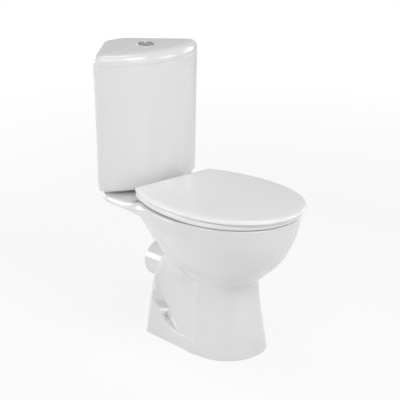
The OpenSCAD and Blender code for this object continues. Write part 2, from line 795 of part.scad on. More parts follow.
module button_bezel() {
    color(chrome) place() translate([0, valve_back, 0]) difference() {
        rotate_extrude($fn = 96) polygon([
            [0, plate_z], [shank_r, plate_z], [shank_r, lid_crown], [bezel_r, lid_crown],
            [bezel_r, lid_crown + 1.2], [bezel_r - 1.2, lid_crown + 2.8], [bezel_r - 3, lid_crown + bezel_h],
            [bezel_bore + 0.8, lid_crown + bezel_h], [bezel_bore, lid_crown + bezel_h - 0.8],
            [bezel_bore, plate_z + 2], [0, plate_z + 2],
        ]);
        for (y = [full_y, half_y])
            translate([rod_x, y, plate_z - 1]) cylinder(r = rod_r + fit, h = 4);
    }
}

module bezel_nut() {
    nut_z = lid_crown - lid_china - 6 - 8;
    color(nylon) place() translate([0, valve_back, nut_z]) difference() {
        cylinder(r = bezel_r + 3, h = 8, $fn = 12);
        translate([0, 0, -1]) cylinder(r = shank_r, h = 10);
    }
}

// One part of the round button: s = -1 is the front part, s = 1 the back part
module button_part(s, y) {
    cut = split_y + s * button_gap / 2;
    translate([0, valve_back, 0]) {
        translate([0, 0, button_top - button_t]) linear_extrude(height = button_t) intersection() {
            circle(r = button_r);
            translate([-30, s > 0 ? cut : cut - 60]) square(60);
        }
        translate([rod_x, y, boss_z]) cylinder(r = 3, h = button_top - button_t - boss_z + eps);
    }
}

module full_flush_button() color(chrome) place() button_part(-1, full_y);
module half_flush_button() color(chrome) place() button_part(1, half_y);

// The rod ends in a ball just above its lever.
pivot_x = -2;
pivot_z = overflow_z + 21;
lever_half_t = 3;
module push_rod(y) {
    ball_z = pivot_z + lever_half_t + fit + rod_r;
    color(nylon) place() translate([rod_x, valve_back + y, 0]) {
        translate([0, 0, ball_z]) cylinder(r = rod_r, h = boss_z - ball_z);
        translate([0, 0, ball_z]) sphere(r = rod_r);
    }
}

module full_push_rod() push_rod(full_y);
module half_push_rod() push_rod(half_y);

// Helical spring of round wire between two heights
function spiral_ring(a, z, r, wire, sides) = [
    for (i = [0:sides - 1])
        let(b = 360 * i / sides, d = r + wire * cos(b)) [d * cos(a), d * sin(a), z + wire * sin(b)]
];
module button_spring(y) {
    low = plate_z + 2 + 0.8;
    high = button_top - button_t - 0.8;
    turns = 5;
    steps = turns * 8;
    color(steel) place() translate([rod_x, valve_back + y, 0])
        loft([for (i = [0:steps])
            spiral_ring(360 * turns * i / steps, lerp(low, high, i / steps), 4.6, 0.5, 6)]);
}

module full_button_spring() button_spring(full_y);
module half_button_spring() button_spring(half_y);

// ---- Flush valve ---------------------------------------------------------------------------

lever_w = 7;
arm_in = rod_x - pivot_x;
arm_out = 14;
tip_lever_r = 2.5;

// Rocking lever: a rod presses its inner end and its outer tip lifts what hangs over it.
module lever(y) {
    color(valve_blue) place() translate([pivot_x, valve_back + y, pivot_z]) difference() {
        union() {
            along_y(5, lever_w);
            translate([0, -lever_w / 2, -lever_half_t]) cube([arm_in + 3, lever_w, 2 * lever_half_t]);
            translate([-arm_out, -lever_w / 2, -2]) cube([arm_out, lever_w, 4]);
            translate([-arm_out, 0, 0]) along_y(tip_lever_r, lever_w);
        }
        along_y(2.05, lever_w + 2);
    }
}

module full_flush_lever() lever(full_y);
module half_flush_lever() lever(half_y);

module lever_pin() {
    color(steel) place() translate([pivot_x, valve_back, pivot_z]) along_y(2, 38);
}

// Hook over a lever's tip, on a flat stem that goes down to z
module tip_hook(y, stem_x, z) {
    head_z = pivot_z + tip_lever_r + fit;
    translate([stem_x - 3, y - 3, z]) cube([3, 6, head_z + 4 - z]);
    translate([stem_x - 3, y - 3, head_z]) cube([-7 - stem_x, 6, 4]);
}

module half_flush_catch() {
    color(nylon) place() translate([0, valve_back, 0]) {
        tip_hook(half_y, -20, overflow_z - 95);
        translate([-24.5, half_y - 5, overflow_z - 95]) cube([6, 10, 22]);
    }
}

seat_lip = floor_z + 11;
valve_bore = outlet_thread_r - 5.5;
thread_z = shelf_z - 5;

module valve_base() {
    color(nylon) place() translate([0, valve_back, 0]) difference() {
        union() {
            translate([0, 0, thread_z]) cylinder(r = outlet_thread_r, h = floor_z + 3 - thread_z + eps);
            translate([0, 0, floor_z + 3]) cylinder(r = outlet_thread_r + 10.5, h = 4);
            translate([0, 0, floor_z + 7 - eps]) cylinder(r = valve_bore + 3, h = 4 + eps);
        }
        translate([0, 0, thread_z - 1]) cylinder(r = valve_bore, h = seat_lip - thread_z + 2);
    }
}

module valve_washer() {
    color(rubber_black) place() translate([0, valve_back, floor_z])
        tube(outlet_thread_r + 10.5, outlet_thread_r + 0.3, 3);
}

module valve_nut() {
    color(nylon) place() translate([0, valve_back, shelf_z + 0.7]) difference() {
        cylinder(r = outlet_thread_r + 9, h = gasket_t - 0.7, $fn = 12);
        translate([0, 0, -1]) cylinder(r = outlet_thread_r, h = gasket_t + 2);
    }
}

cage_top = overflow_z - 10;
module valve_cage() {
    color(valve_blue) place() translate([0, valve_back, 0]) {
        translate([0, 0, floor_z + 7]) tube(cage_r, cage_r - 5, 5);
        for (a = [45:90:315])
            rotate([0, 0, a]) translate([cage_r - 4.5, -4, floor_z + 10])
                cube([4, 8, cage_top - floor_z - 8]);
        difference() {
            translate([0, 0, cage_top - 5]) cylinder(r = cage_r, h = 5);
            translate([0, 0, cage_top - 6]) cylinder(r = 15, h = 7);
            translate([-24.5, half_y - 4, cage_top - 6]) cube([5.5, 8, 7]);
        }
        for (s = [-1, 1]) difference() {
            translate([pivot_x - 4, s * 17.5 - 1.5, cage_top - eps]) cube([8, 3, pivot_z + 5 - cage_top]);
            translate([pivot_x, s * 17.5, pivot_z]) along_y(2, 5);
        }
    }
}

tower_r = 14;
module overflow_tube() {
    color(nylon) place() translate([0, valve_back, 0]) {
        difference() {
            union() {
                translate([0, 0, seat_lip + 3]) cylinder(r = tower_r, h = overflow_z - seat_lip - 3);
                translate([0, 0, seat_lip + 3]) cylinder(r = 28, h = 4);
            }
            translate([0, 0, seat_lip]) cylinder(r = tower_r - 2.5, h = overflow_z);
        }
        difference() {
            translate([-22, full_y - 3, overflow_z - 6]) cube([12, 6, 6]);
            translate([0, 0, overflow_z - 7]) cylinder(r = tower_r - 1, h = 8);
        }
        tip_hook(full_y, -19, overflow_z - 6);
    }
}

module flush_seal() {
    color(rubber_black) place() translate([0, valve_back, seat_lip + 0.2]) tube(29, tower_r - 2.5, 2.8);
}

module flush_float() {
    color(nylon) place() translate([0, valve_back, floor_z + 70]) tube(24, tower_r, 42);
}

// ---- Close coupling ------------------------------------------------------------------------

module cistern_gasket() {
    color(foam_black) place() translate([0, valve_back, shelf_z])
        tube(outlet_thread_r + 23, outlet_thread_r + 9.4, gasket_t);
}

seal_t = 4;
module coupling_bolts() {
    color(brass) place() both_sides() translate([bolt_half, valve_back, 0]) {
        translate([0, 0, shelf_under - 26])
            cylinder(r = bolt_r, h = floor_z + seal_t - shelf_under + 26 + eps);
        translate([0, 0, floor_z + seal_t]) difference() {
            cylinder(r = bolt_r + 3.5, h = 4.5);
            translate([-1, -bolt_r - 4, 2.5]) cube([2, 2 * bolt_r + 8, 3]);
        }
    }
}

module coupling_seals() {
    color(rubber_black) place() both_sides() translate([bolt_half, valve_back, floor_z])
        tube(bolt_r + 9, bolt_r, seal_t);
}

washer_t = 2;
module coupling_washers() {
    color(brass) place() both_sides() translate([bolt_half, valve_back, shelf_under - washer_t])
        tube(bolt_r + 7, bolt_r + 0.4, washer_t);
}

module coupling_wing_nuts() {
    color(brass) place() both_sides()
        translate([bolt_half, valve_back, shelf_under - washer_t - 9]) difference() {
            union() {
                cylinder(r = bolt_r + 3.5, h = 9);
                for (s = [-1, 1]) hull() {
                    translate([-1.2, s > 0 ? 5 : -7, 1]) cube([2.4, 2, 6]);
                    translate([0, s * (wing_reach - 5), -2]) rotate([0, 90, 0])
                        cylinder(r = 5, h = 2.4, center = true, $fn = 24);
                }
            }
            translate([0, 0, -9]) cylinder(r = bolt_r, h = 20);
        }
}

// ---- Fill valve ----------------------------------------------------------------------------

stem_r = 9;
inlet_tail = 47;
head_z = floor_z + fill_h - 20;
module fill_valve_stem() {
    color(nylon) place() translate([0, inlet_back, 0]) difference() {
        union() {
            translate([0, 0, cistern_z - 11 - inlet_tail]) cylinder(r = inlet_r, h = inlet_tail + 1);
            translate([0, 0, cistern_z - 11]) cylinder(r = inlet_r + 0.4, h = cistern_floor + 14 + eps);
            translate([0, 0, floor_z + 3]) cylinder(r = inlet_r + 6, h = 4);
            translate([0, 0, floor_z + 7 - eps]) cylinder(r = stem_r, h = head_z - floor_z - 7);
        }
        translate([0, 0, cistern_z - 12 - inlet_tail])
            cylinder(r = stem_r - 3, h = head_z - cistern_z + inlet_tail + 24);
    }
}

module inlet_washer() {
    color(rubber_black) place() translate([0, inlet_back, floor_z]) tube(inlet_r + 6, inlet_r + 0.4, 3);
}

module inlet_nut() {
    color(nylon) place() translate([0, inlet_back, cistern_z - 10]) difference() {
        cylinder(r = inlet_r + 7, h = 10, $fn = 6);
        translate([0, 0, -1]) cylinder(r = inlet_r + 0.4, h = 12);
    }
}

arm_at = [8, head_z + 32];
arm_len = 32;
arm_tilt = 13;
module fill_valve_head() {
    color(valve_blue) place() translate([0, inlet_back, 0]) difference() {
        union() {
            translate([0, 0, head_z - eps]) cylinder(r = 16, h = 20);
            for (s = [-1, 1])
                translate([arm_at[0] - 4, s * 6.5 - 2, head_z + 19]) cube([8, 4, 18]);
        }
        translate([0, 0, head_z - 1]) cylinder(r = stem_r - 3, h = 14);
        translate([arm_at[0], 0, arm_at[1]]) along_y(1.5, 20);
    }
}

module arm_pin() {
    color(steel) place() translate([arm_at[0], inlet_back, arm_at[1]]) along_y(1.5, 17);
}

module fill_valve_arm() {
    color(valve_blue) place() translate([arm_at[0], inlet_back, arm_at[1]]) rotate([0, -arm_tilt, 0])
        difference() {
            union() {
                along_y(4, 8);
                translate([-arm_len - 5, -4, -2.5]) cube([arm_len + 5, 8, 5]);
            }
            along_y(1.55, 10);
            translate([-arm_len, 0, -4]) cylinder(r = 3, h = 8);
        }
}

float_z = floor_z + 120;
link_x = arm_at[0] - arm_len * cos(arm_tilt) - 0.4;
link_low = arm_at[1] - arm_len * sin(arm_tilt);
module fill_float() {
    color(nylon) place() translate([0, inlet_back, float_z]) {
        tube(22, stem_r + 0.6, 50);
        difference() {
            translate([link_x - 4, -4, 42]) cube([8, 8, 8]);
            translate([0, 0, 41]) cylinder(r = 21, h = 10);
            translate([link_x, 0, 41]) cylinder(r = 1.5, h = 10);
        }
    }
}

module float_link() {
    color(steel) place() translate([link_x, inlet_back, 0]) {
        translate([0, 0, float_z + 42]) cylinder(r = 1.5, h = link_low + 12 - float_z - 42);
        translate([0, 0, link_low - 8.5]) cylinder(r = 4, h = 3);
        translate([0, 0, link_low + 5.5]) cylinder(r = 4, h = 3);
    }
}

// ---- Floor fixings -------------------------------------------------------------------------

bracket_t = 4;
module floor_brackets() {
    color(nylon) place() both_sides() translate([0, floor_back, 0]) difference() {
        union() {
            translate([bracket_x[0], -16, 0]) cube([bracket_x[1] - bracket_x[0], 32, bracket_t]);
            translate([bracket_x[1] - bracket_t, -16, 0]) cube([bracket_t, 32, side_screw_z + 12]);
        }
        translate([floor_half, 0, -1]) cylinder(r = floor_hole_r, h = bracket_t + 2);
        translate([0, 0, side_screw_z]) along_x(3, bracket_x[0], 40);
    }
}

module side_screws() {
    color(steel) place() both_sides() translate([0, floor_back, side_screw_z]) {
        along_x(3, bracket_x[1] - 14, spot_x - bracket_x[1] + 14 + eps);
        along_x(4.2, spot_x, 2);
    }
}

module screw_caps() {
    color(seat_white) place() both_sides() translate([spot_x, floor_back, side_screw_z]) rotate([0, 90, 0])
        rotate_extrude() polygon([[4.4, 0], [5.6, 0], [5.6, 1.5], [4.8, 3.3], [3.2, 4.1], [0, 4.4],
                                  [0, 2.4], [4.4, 2.4]]);
}

pan();
cistern();
cistern_lid();
seat_ring();
seat_buffers();
seat_lid();
lid_buffers();
hinge_posts();
hinge_pins();
hinge_screws();
hinge_anchors();
button_bezel();
bezel_nut();
full_flush_button();
half_flush_button();
full_push_rod();
half_push_rod();
full_button_spring();
half_button_spring();
full_flush_lever();
half_flush_lever();
half_flush_catch();
lever_pin();
valve_base();
valve_cage();
valve_washer();
valve_nut();
overflow_tube();
flush_seal();
flush_float();
cistern_gasket();
coupling_bolts();
coupling_seals();
coupling_washers();
coupling_wing_nuts();
fill_valve_stem();
inlet_washer();
inlet_nut();
fill_valve_head();
fill_float();
float_link();
fill_valve_arm();
arm_pin();
floor_brackets();
side_screws();
screw_caps();
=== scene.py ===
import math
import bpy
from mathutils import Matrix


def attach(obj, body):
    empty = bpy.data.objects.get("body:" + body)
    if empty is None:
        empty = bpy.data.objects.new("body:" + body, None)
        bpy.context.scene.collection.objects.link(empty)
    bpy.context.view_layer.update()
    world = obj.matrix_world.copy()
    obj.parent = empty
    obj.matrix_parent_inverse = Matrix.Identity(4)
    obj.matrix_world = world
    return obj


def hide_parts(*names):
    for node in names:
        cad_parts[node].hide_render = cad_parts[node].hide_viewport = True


bl_info = {
    "name": "Corner toilet",
    "version": (1, 0, 0),
    "blender": (4, 5, 0),
    "location": "View3D > Sidebar > Toilet",
    "description": "Dresses the corner toilet: glazed china, seat, chrome and the fittings inside",
    "category": "Object",
}

import bpy
import numpy as np
from bpy.props import FloatProperty, FloatVectorProperty, PointerProperty
from bpy.types import Operator, Panel, PropertyGroup
from mathutils import Matrix, Vector

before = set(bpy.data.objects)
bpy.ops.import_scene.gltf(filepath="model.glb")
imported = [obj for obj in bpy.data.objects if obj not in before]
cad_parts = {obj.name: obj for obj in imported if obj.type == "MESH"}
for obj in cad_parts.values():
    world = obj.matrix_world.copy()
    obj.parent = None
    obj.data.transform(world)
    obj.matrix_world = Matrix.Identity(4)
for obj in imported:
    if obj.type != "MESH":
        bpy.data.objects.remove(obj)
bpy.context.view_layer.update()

MM = 0.001
# Depths are counted in millimetres from the widest line of the rim, positive to the back.
WIDE_Y = -112.5
RIM_Z = 401.0
SHELF_Z, SHELF_UNDER = 391.0, 375.0
SPIGOT_Z, SPIGOT_END = 180, 274
CISTERN_Z = 399.0
VALVE_BACK = 319.0
BOLT_X, BOLT_HOLE_R = 75, 5
WALL_LINE = 503.0
BACK_REACH = 471.0


# ---- Sizes and colours ---------------------------------------------------------------------


class ToiletSizes(PropertyGroup):
    rim_width: FloatProperty(
        name="Rim width", description="Widest width of the pan's rim", default=0.357, unit="LENGTH"
    )
    rim_front: FloatProperty(
        name="Rim reach", description="Reach of the rim in front of its widest line",
        default=0.230, unit="LENGTH",
    )
    foot_width: FloatProperty(
        name="Foot width", description="Width of the foot on the floor", default=0.219, unit="LENGTH"
    )
    recess_depth: FloatProperty(
        name="Recess depth", description="Depth of the hollow in each side of the foot",
        default=0.017, unit="LENGTH",
    )
    cistern_width: FloatProperty(
        name="Cistern width", description="Width of the cistern from tip to tip",
        default=0.376, unit="LENGTH",
    )
    cistern_top: FloatProperty(
        name="Cistern height", description="Height of the seam under the cistern's lid",
        default=0.7535, unit="LENGTH",
    )
    lid_crown: FloatProperty(
        name="Top height", description="Height of the cistern lid's crown", default=0.790, unit="LENGTH"
    )
    edge_radius: FloatProperty(
        name="Rim edge", description="Rounding along the rim's outer edge", default=0.005, unit="LENGTH"
    )


class ToiletColours(PropertyGroup):
    glaze: FloatVectorProperty(
        name="Glaze", description="Colour of the glazed china", subtype="COLOR", size=3,
        default=(0.84, 0.84, 0.835), min=0, max=1,
    )
    seat: FloatVectorProperty(
        name="Seat", description="Colour of the seat and its lid", subtype="COLOR", size=3,
        default=(0.88, 0.88, 0.88), min=0, max=1,
    )
    floor: FloatVectorProperty(
        name="Floor", description="Colour of the floor", subtype="COLOR", size=3,
        default=(0.9, 0.9, 0.9), min=0, max=1,
    )


# ---- Shader maths --------------------------------------------------------------------------


class Value:
    """A number on its way through a material; + and * add the Math nodes."""

    def __init__(self, nodes, socket):
        self.nodes, self.socket = nodes, socket

    def _maths(self, operation, a, b):
        return self.nodes.add("ShaderNodeMath", {"operation": operation}, {0: a, 1: b})

    def __add__(self, other):
        return self._maths("ADD", self, other)

    def __radd__(self, other):
        return self._maths("ADD", other, self)

    def __mul__(self, other):
        return self._maths("MULTIPLY", self, other)

    def __rmul__(self, other):
        return self._maths("MULTIPLY", other, self)


class Shades:
    """The node tree of one material or world."""

    def __init__(self, tree):
        self.tree = tree
        tree.nodes.clear()

    def node(self, kind, settings=None, inputs=None):
        n = self.tree.nodes.new(kind)
        for key, value in (settings or {}).items():
            if key == "stops":
                ramp = n.color_ramp
                for k, (place, level) in enumerate(value):
                    stop = ramp.elements[k] if k < 2 else ramp.elements.new(place)
                    stop.position = place
                    stop.color = (level, level, level, 1)
            else:
                setattr(n, key, value)
        for key, value in (inputs or {}).items():
            if isinstance(value, Value):
                self.tree.links.new(value.socket, n.inputs[key])
            elif value is not None:
                n.inputs[key].default_value = value
        return n

    def add(self, kind, settings=None, inputs=None, output=0):
        return Value(self, self.node(kind, settings, inputs).outputs[output])

    def places(self):
        return self.add("ShaderNodeTexCoord", output="Object")

    def noise(self, scale, detail=2.0, roughness=0.5, where=None):
        return self.add(
            "ShaderNodeTexNoise", None,
            {"Vector": where or self.places(), "Scale": scale, "Detail": detail, "Roughness": roughness},
        )

    def blend(self, share, a, b):
        return self.add(
            "ShaderNodeMix", {"data_type": "RGBA"}, {0: share, 6: a, 7: b}, output=2
        )

    def bump(self, height, strength, distance):
        return self.add(
            "ShaderNodeBump", None, {"Strength": strength, "Distance": distance, "Height": height}
        )


def four(colour, share=1.0):
    return (colour[0] * share, colour[1] * share, colour[2] * share, 1.0)


def finish_of(name, build):
    """A material by name, made once."""
    found = bpy.data.materials.get(name)
    if found:
        return found
    made = bpy.data.materials.new(name)
    made.use_nodes = True
    s = Shades(made.node_tree)
    shader = build(s)
    s.node("ShaderNodeOutputMaterial", None, {"Surface": Value(s, shader.outputs[0])})
    return made


def glazed_china():
    colour = bpy.context.scene.toilet_colours.glaze

    def build(s):
        cloud = s.noise(4.0, 3.0)
        ripple = s.noise(38.0, 2.0)
        peel = s.noise(210.0, 2.0, 0.6)
        speck = s.add(
            "ShaderNodeValToRGB", {"stops": [(0.0, 1.0), (0.09, 0.0)]},
            {"Fac": s.add("ShaderNodeTexVoronoi", None, {"Vector": s.places(), "Scale": 55.0})},
        )
        tint = s.blend(cloud, four(colour, 0.985), four(colour, 1.012))
        body = s.blend(speck * 0.05, tint, four(colour, 0.80))
        return s.node(
            "ShaderNodeBsdfPrincipled", None,
            {
                "Base Color": body,
                "Roughness": 0.10 + 0.04 * cloud,
                "Normal": s.bump(ripple * 0.8 + peel * 0.05, 0.10, 0.0015),
                "Coat Weight": 0.6,
                "Coat Roughness": 0.03,
                "IOR": 1.52,
            },
        )

    return finish_of("glazed_china", build)


def seat_plastic():
    colour = bpy.context.scene.toilet_colours.seat

    def build(s):
        cloud = s.noise(7.0, 3.0)
        grain = s.noise(420.0, 3.0, 0.65)
        rub = s.noise(26.0, 5.0, 0.7)
        return s.node(
            "ShaderNodeBsdfPrincipled", None,
            {
                "Base Color": s.blend(cloud, four(colour, 0.985), four(colour, 1.012)),
                "Roughness": 0.11 + 0.04 * rub,
                "Normal": s.bump(grain, 0.05, 0.0004),
                "IOR": 1.5,
            },
        )

    return finish_of("seat_plastic", build)


def chrome(name="chrome_plate", colour=(0.80, 0.81, 0.83), dull=0.05):
    def build(s):
        smear = s.noise(60.0, 4.0, 0.6)
        hair = s.noise(900.0, 2.0, 0.5)
        return s.node(
            "ShaderNodeBsdfPrincipled", None,
            {
                "Base Color": s.blend(smear, four(colour, 0.96), four(colour, 1.02)),
                "Metallic": 1.0,
                "Roughness": dull + 0.06 * smear,
                "Normal": s.bump(hair, 0.03, 0.0002),
            },
        )

    return finish_of(name, build)


def drawn_metal(name, colour, dull=0.28):
    def build(s):
        stain = s.noise(90.0, 4.0, 0.6)
        stretched = s.add(
            "ShaderNodeMapping", None, {"Vector": s.places(), "Scale": (900.0, 900.0, 60.0)}
        )
        lines = s.noise(1.0, 2.0, 0.5, stretched)
        return s.node(
            "ShaderNodeBsdfPrincipled", None,
            {
                "Base Color": s.blend(stain, four(colour, 0.86), four(colour, 1.06)),
                "Metallic": 1.0,
                "Roughness": dull + 0.16 * stain,
                "Normal": s.bump(lines, 0.12, 0.0002),
            },
        )

    return finish_of(name, build)


def moulded(name, colour, dull=0.42, grain_strength=0.12):
    def build(s):
        cloud = s.noise(30.0, 3.0)
        grain = s.noise(1400.0, 2.0, 0.6)
        flow = s.noise(120.0, 4.0, 0.7)
        return s.node(
            "ShaderNodeBsdfPrincipled", None,
            {
                "Base Color": s.blend(cloud, four(colour, 0.93), four(colour, 1.03)),
                "Roughness": dull + 0.12 * flow,
                "Normal": s.bump(grain * 0.6 + flow * 0.4, grain_strength, 0.0002),
            },
        )

    return finish_of(name, build)


def soft_rubber():
    def build(s):
        bloom = s.noise(140.0, 5.0, 0.7)
        pores = s.add("ShaderNodeTexVoronoi", None, {"Vector": s.places(), "Scale": 700.0})
        return s.node(
            "ShaderNodeBsdfPrincipled", None,
            {
                "Base Color": s.blend(bloom, (0.018, 0.018, 0.018, 1), (0.055, 0.055, 0.052, 1)),
                "Roughness": 0.72 + 0.2 * bloom,
                "Normal": s.bump(pores, 0.3, 0.0002),
            },
        )

    return finish_of("black_rubber", build)


# ---- Mesh helpers --------------------------------------------------------------------------


def joined_rings(rings, start="cap", end="cap"):
    """Points and faces of a skin through rings of equal length, in order."""
    n = len(rings[0])
    points = [np.asarray(r, float) for r in rings]
    faces = []
    for k in range(len(rings) - 1):
        a, b = k * n, (k + 1) * n
        for i in range(n):
            j = (i + 1) % n
            faces.append((a + i, a + j, b + j, b + i))
    total = np.concatenate(points)
    if end == "join":
        b = (len(rings) - 1) * n
        faces += [(b + i, b + (i + 1) % n, (i + 1) % n, i) for i in range(n)]
        return total, faces
    for which, base, order in ((start, 0, -1), (end, (len(rings) - 1) * n, 1)):
        if which == "cap":
            middle = total[base : base + n].mean(0)
            total = np.vstack([total, middle])
            c = len(total) - 1
            for i in range(n):
                j = (i + 1) % n
                faces.append((base + i, base + j, c) if order > 0 else (base + j, base + i, c))
    return total, faces


def make_piece(name, points, faces, material, body, nodes=()):
    """A mesh object from points in millimetres, counted from the rim's widest line."""
    mesh = bpy.data.meshes.new(name)
    place = np.asarray(points, float) + (0.0, WIDE_Y, 0.0)
    mesh.from_pydata((place * MM).tolist(), [], faces)
    mesh.validate()
    mesh.update()
    piece = bpy.data.objects.new(name, mesh)
    bpy.context.scene.collection.objects.link(piece)
    mesh.materials.append(material)
    smooth(piece)
    if body:
        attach(piece, body)
    if nodes:
        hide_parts(*nodes)
    return piece


def smooth(piece, crease=40.0):
    mesh = piece.data
    mesh.shade_smooth()
    mesh.set_sharp_from_angle(angle=math.radians(crease))


def carved(piece, cutters):
    """Takes the cutters' forms out of the piece, and then deletes the cutters."""
    for cutter in cutters:
        step = piece.modifiers.new("cut", "BOOLEAN")
        step.operation, step.solver, step.object = "DIFFERENCE", "EXACT", cutter
    graph = bpy.context.evaluated_depsgraph_get()
    cut = bpy.data.meshes.new_from_object(piece.evaluated_get(graph))
    piece.modifiers.clear()
    old, piece.data = piece.data, cut
    bpy.data.meshes.remove(old)
    for cutter in cutters:
        bpy.data.objects.remove(cutter)
    return piece


def lathe(profile, turns=96, axis="Z"):
    """Rings of a profile of (radius, height) about an upright line, or about X."""
    a = np.linspace(0, 2 * math.pi, turns, endpoint=False)
    rings = []
    for r, h in profile:
        if axis == "X":
            rings.append(np.stack([np.full(turns, h), r * np.cos(a), r * np.sin(a)], 1))
        else:
            rings.append(np.stack([r * np.cos(a), r * np.sin(a), np.full(turns, h)], 1))
    return rings


def rounded_path(points, radii, steps=6):
    """A path of (a, b) points whose corners are rounded by the radii."""
    out = []
    for i, p in enumerate(points):
        r = radii[i]
        if r <= 0 or i in (0, len(points) - 1):
            out.append(np.array(p, float))
            continue
        p = np.array(p, float)
        u = np.array(points[i - 1], float) - p
        v = np.array(points[i + 1], float) - p
        lu, lv = np.linalg.norm(u), np.linalg.norm(v)
        u, v = u / lu, v / lv
        bend = math.acos(max(-1, min(1, float(u @ v))))
        back = min(r / max(math.tan(bend / 2), 1e-6), 0.49 * lu, 0.49 * lv)
        a, b = p + u * back, p + v * back
        for k in range(steps + 1):
            t = k / steps
            out.append((1 - t) ** 2 * a + 2 * t * (1 - t) * p + t * t * b)
    return out


def curve(knots, t):
    """Smooth curve through knots (position, value), level beyond its ends."""
    x = np.array([k[0] for k in knots], float)
    v = np.array([k[1] for k in knots], float)
    lo = np.maximum(np.arange(len(x)) - 1, 0)
    hi = np.minimum(np.arange(len(x)) + 1, len(x) - 1)
    slope = (v[hi] - v[lo]) / (x[hi] - x[lo])
    t = np.clip(np.asarray(t, float), x[0], x[-1])
    i = np.clip(np.searchsorted(x, t, side="right") - 1, 0, len(x) - 2)
    w = x[i + 1] - x[i]
    u = (t - x[i]) / w
    return (
        (2 * u**3 - 3 * u**2 + 1) * v[i]
        + (u**3 - 2 * u**2 + u) * w * slope[i]
        + (3 * u**2 - 2 * u**3) * v[i + 1]
        + (u**3 - u**2) * w * slope[i + 1]
    )


def soft_min(a, b, k):
    h = np.maximum(k - np.abs(a - b), 0) / k
    return np.minimum(a, b) - h * h * k / 4


def soft_max(a, b, k):
    return -soft_min(-a, -b, k)


# ---- Pan -----------------------------------------------------------------------------------

COLUMN_WIDTH = [(0, 1), (30, 0.95), (80, 0.867), (140, 0.785), (200, 0.73), (240, 0.712)]
COLUMN_FRONT = [(0, 1), (30, 0.976), (80, 0.928), (140, 0.88), (200, 0.84), (240, 0.824)]
COLUMN_BACK = [(0, 100), (60, 80), (120, 70), (240, 66)]
BOWL_SPREAD = [(0, 0.42), (0.04, 0.47), (0.13, 0.56), (0.26, 0.685), (0.46, 0.825), (0.7, 0.935), (1, 1)]
WEB_WIDTH = [(0, 0.995), (40, 0.93), (90, 0.845), (150, 0.763), (200, 0.7), (235, 0.655), (262, 0.7),
             (300, 0.8), (345, 0.965), (376, 1.45)]
WEB_BACK = [(0, 0), (60, 3), (150, 4), (200, -4), (235, -11), (262, 0), (300, 18), (345, 58), (376, 96)]
WEB_CORNER = [(0, 25), (150, 34), (200, 50), (240, 64), (262, 52), (300, 50), (376, 40)]
WEB_FRONT = [(0, -3), (60, 4), (160, 9)]
DUCT_UNDER = [(169, 112), (229, 84), (289, 67), (369, 57)]
SHELF_SIDES = [(0, 12), (143, -10), (313, 0)]
FOOT_FRONT, FOOT_BACK, BOWL_Z = 125.0, 213.0, 196.0
PAN_MIDDLE = 39.0


def oval(x, y, w, l, power):
    r = (np.abs(x / w) ** power + np.abs(y / l) ** power) ** (1 / power)
    return (r - 1) * w


def rounded(dx, dy, r):
    outside = np.hypot(np.maximum(dx + r, 0), np.maximum(dy + r, 0))
    return outside + np.minimum(np.maximum(dx + r, dy + r), 0) - r


def ease(t):
    u = np.clip(t, 0, 1)
    return u * u * (3 - 2 * u)


def top_level(x, y):
    """Height of the top behind the rim: level under the hinges, falling to the shelf."""
    start = 215 - 65 * ease((np.abs(x) - 92) / 36)
    return RIM_Z - (RIM_Z - SHELF_Z) * ease((y - start) / (229 - start))


def web_half(z):
    return bpy.context.scene.toilet_sizes.foot_width / 2 / MM * curve(WEB_WIDTH, z)


def pan_form(x, y, z, open_top=False):
    """Below zero inside the pan's outer form, without the spigot."""
    sizes = bpy.context.scene.toilet_sizes
    half, front = sizes.rim_width / 2 / MM, sizes.rim_front / MM
    foot, hollow = sizes.foot_width / 2 / MM, sizes.recess_depth / MM
    web = web_half(z)
    side = np.maximum(
        rounded(np.abs(x) - web, y - FOOT_BACK - curve(WEB_BACK, z), curve(WEB_CORNER, z)),
        np.maximum(rounded(np.abs(x) - web, curve(WEB_FRONT, z) - y, 0), z - SHELF_UNDER),
    )
    deep = hollow * ease((y - 30) / 125) * ease((226 - z) / 140)
    u, v = np.maximum(y - 55, 0) / 136, np.maximum(180 - z, 0) / 142
    recess = np.maximum((np.hypot(u, v) - 1) * 136, web - deep - np.abs(x))
    side = soft_max(side, -recess, 5)
    duct = rounded(rounded(np.abs(x) - 50, y - 367, 40), RIM_Z - curve(DUCT_UNDER, y) - z, 0)
    duct = rounded(duct, 109 - y, 0)
    leg = soft_min(side, duct, 30)
    reach = np.where(y < 0, FOOT_FRONT * curve(COLUMN_FRONT, z), curve(COLUMN_BACK, z))
    column = np.maximum(oval(x, y, foot * curve(COLUMN_WIDTH, z), reach, 2.25), z - 240)
    foot_form = soft_min(leg, column, 14)
    share = np.clip((z - BOWL_Z) / (RIM_Z - BOWL_Z), 0, 1)
    s = curve(BOWL_SPREAD, share)
    back = (150 + 80 * share) * s**0.25
    bowl = np.maximum(oval(x, y, half * s, np.where(y < 0, front * s, back), 2.14),
                      BOWL_Z + 0.24 * np.maximum(y, 0) - z)
    blend = 5 + 79 * ease((z - 202) / 80)
    blend = blend + np.maximum(60 - blend, 0) * ease((y - 10) / 90)
    body = soft_min(foot_form, bowl, blend)
    slope = (np.abs(x) + y - WALL_LINE + 22) / math.sqrt(2)
    plan = soft_max(np.abs(x) - 166 - curve(SHELF_SIDES, y), slope, 20)
    plan = soft_max(plan, y - 387, 20)
    above = z * 0 - 60 if open_top else z - top_level(x, y)
    shelf = soft_max(np.maximum(plan, 49 - y), np.maximum(above, SHELF_UNDER - z), 6)
    return np.maximum(soft_min(body, shelf, 20), above)


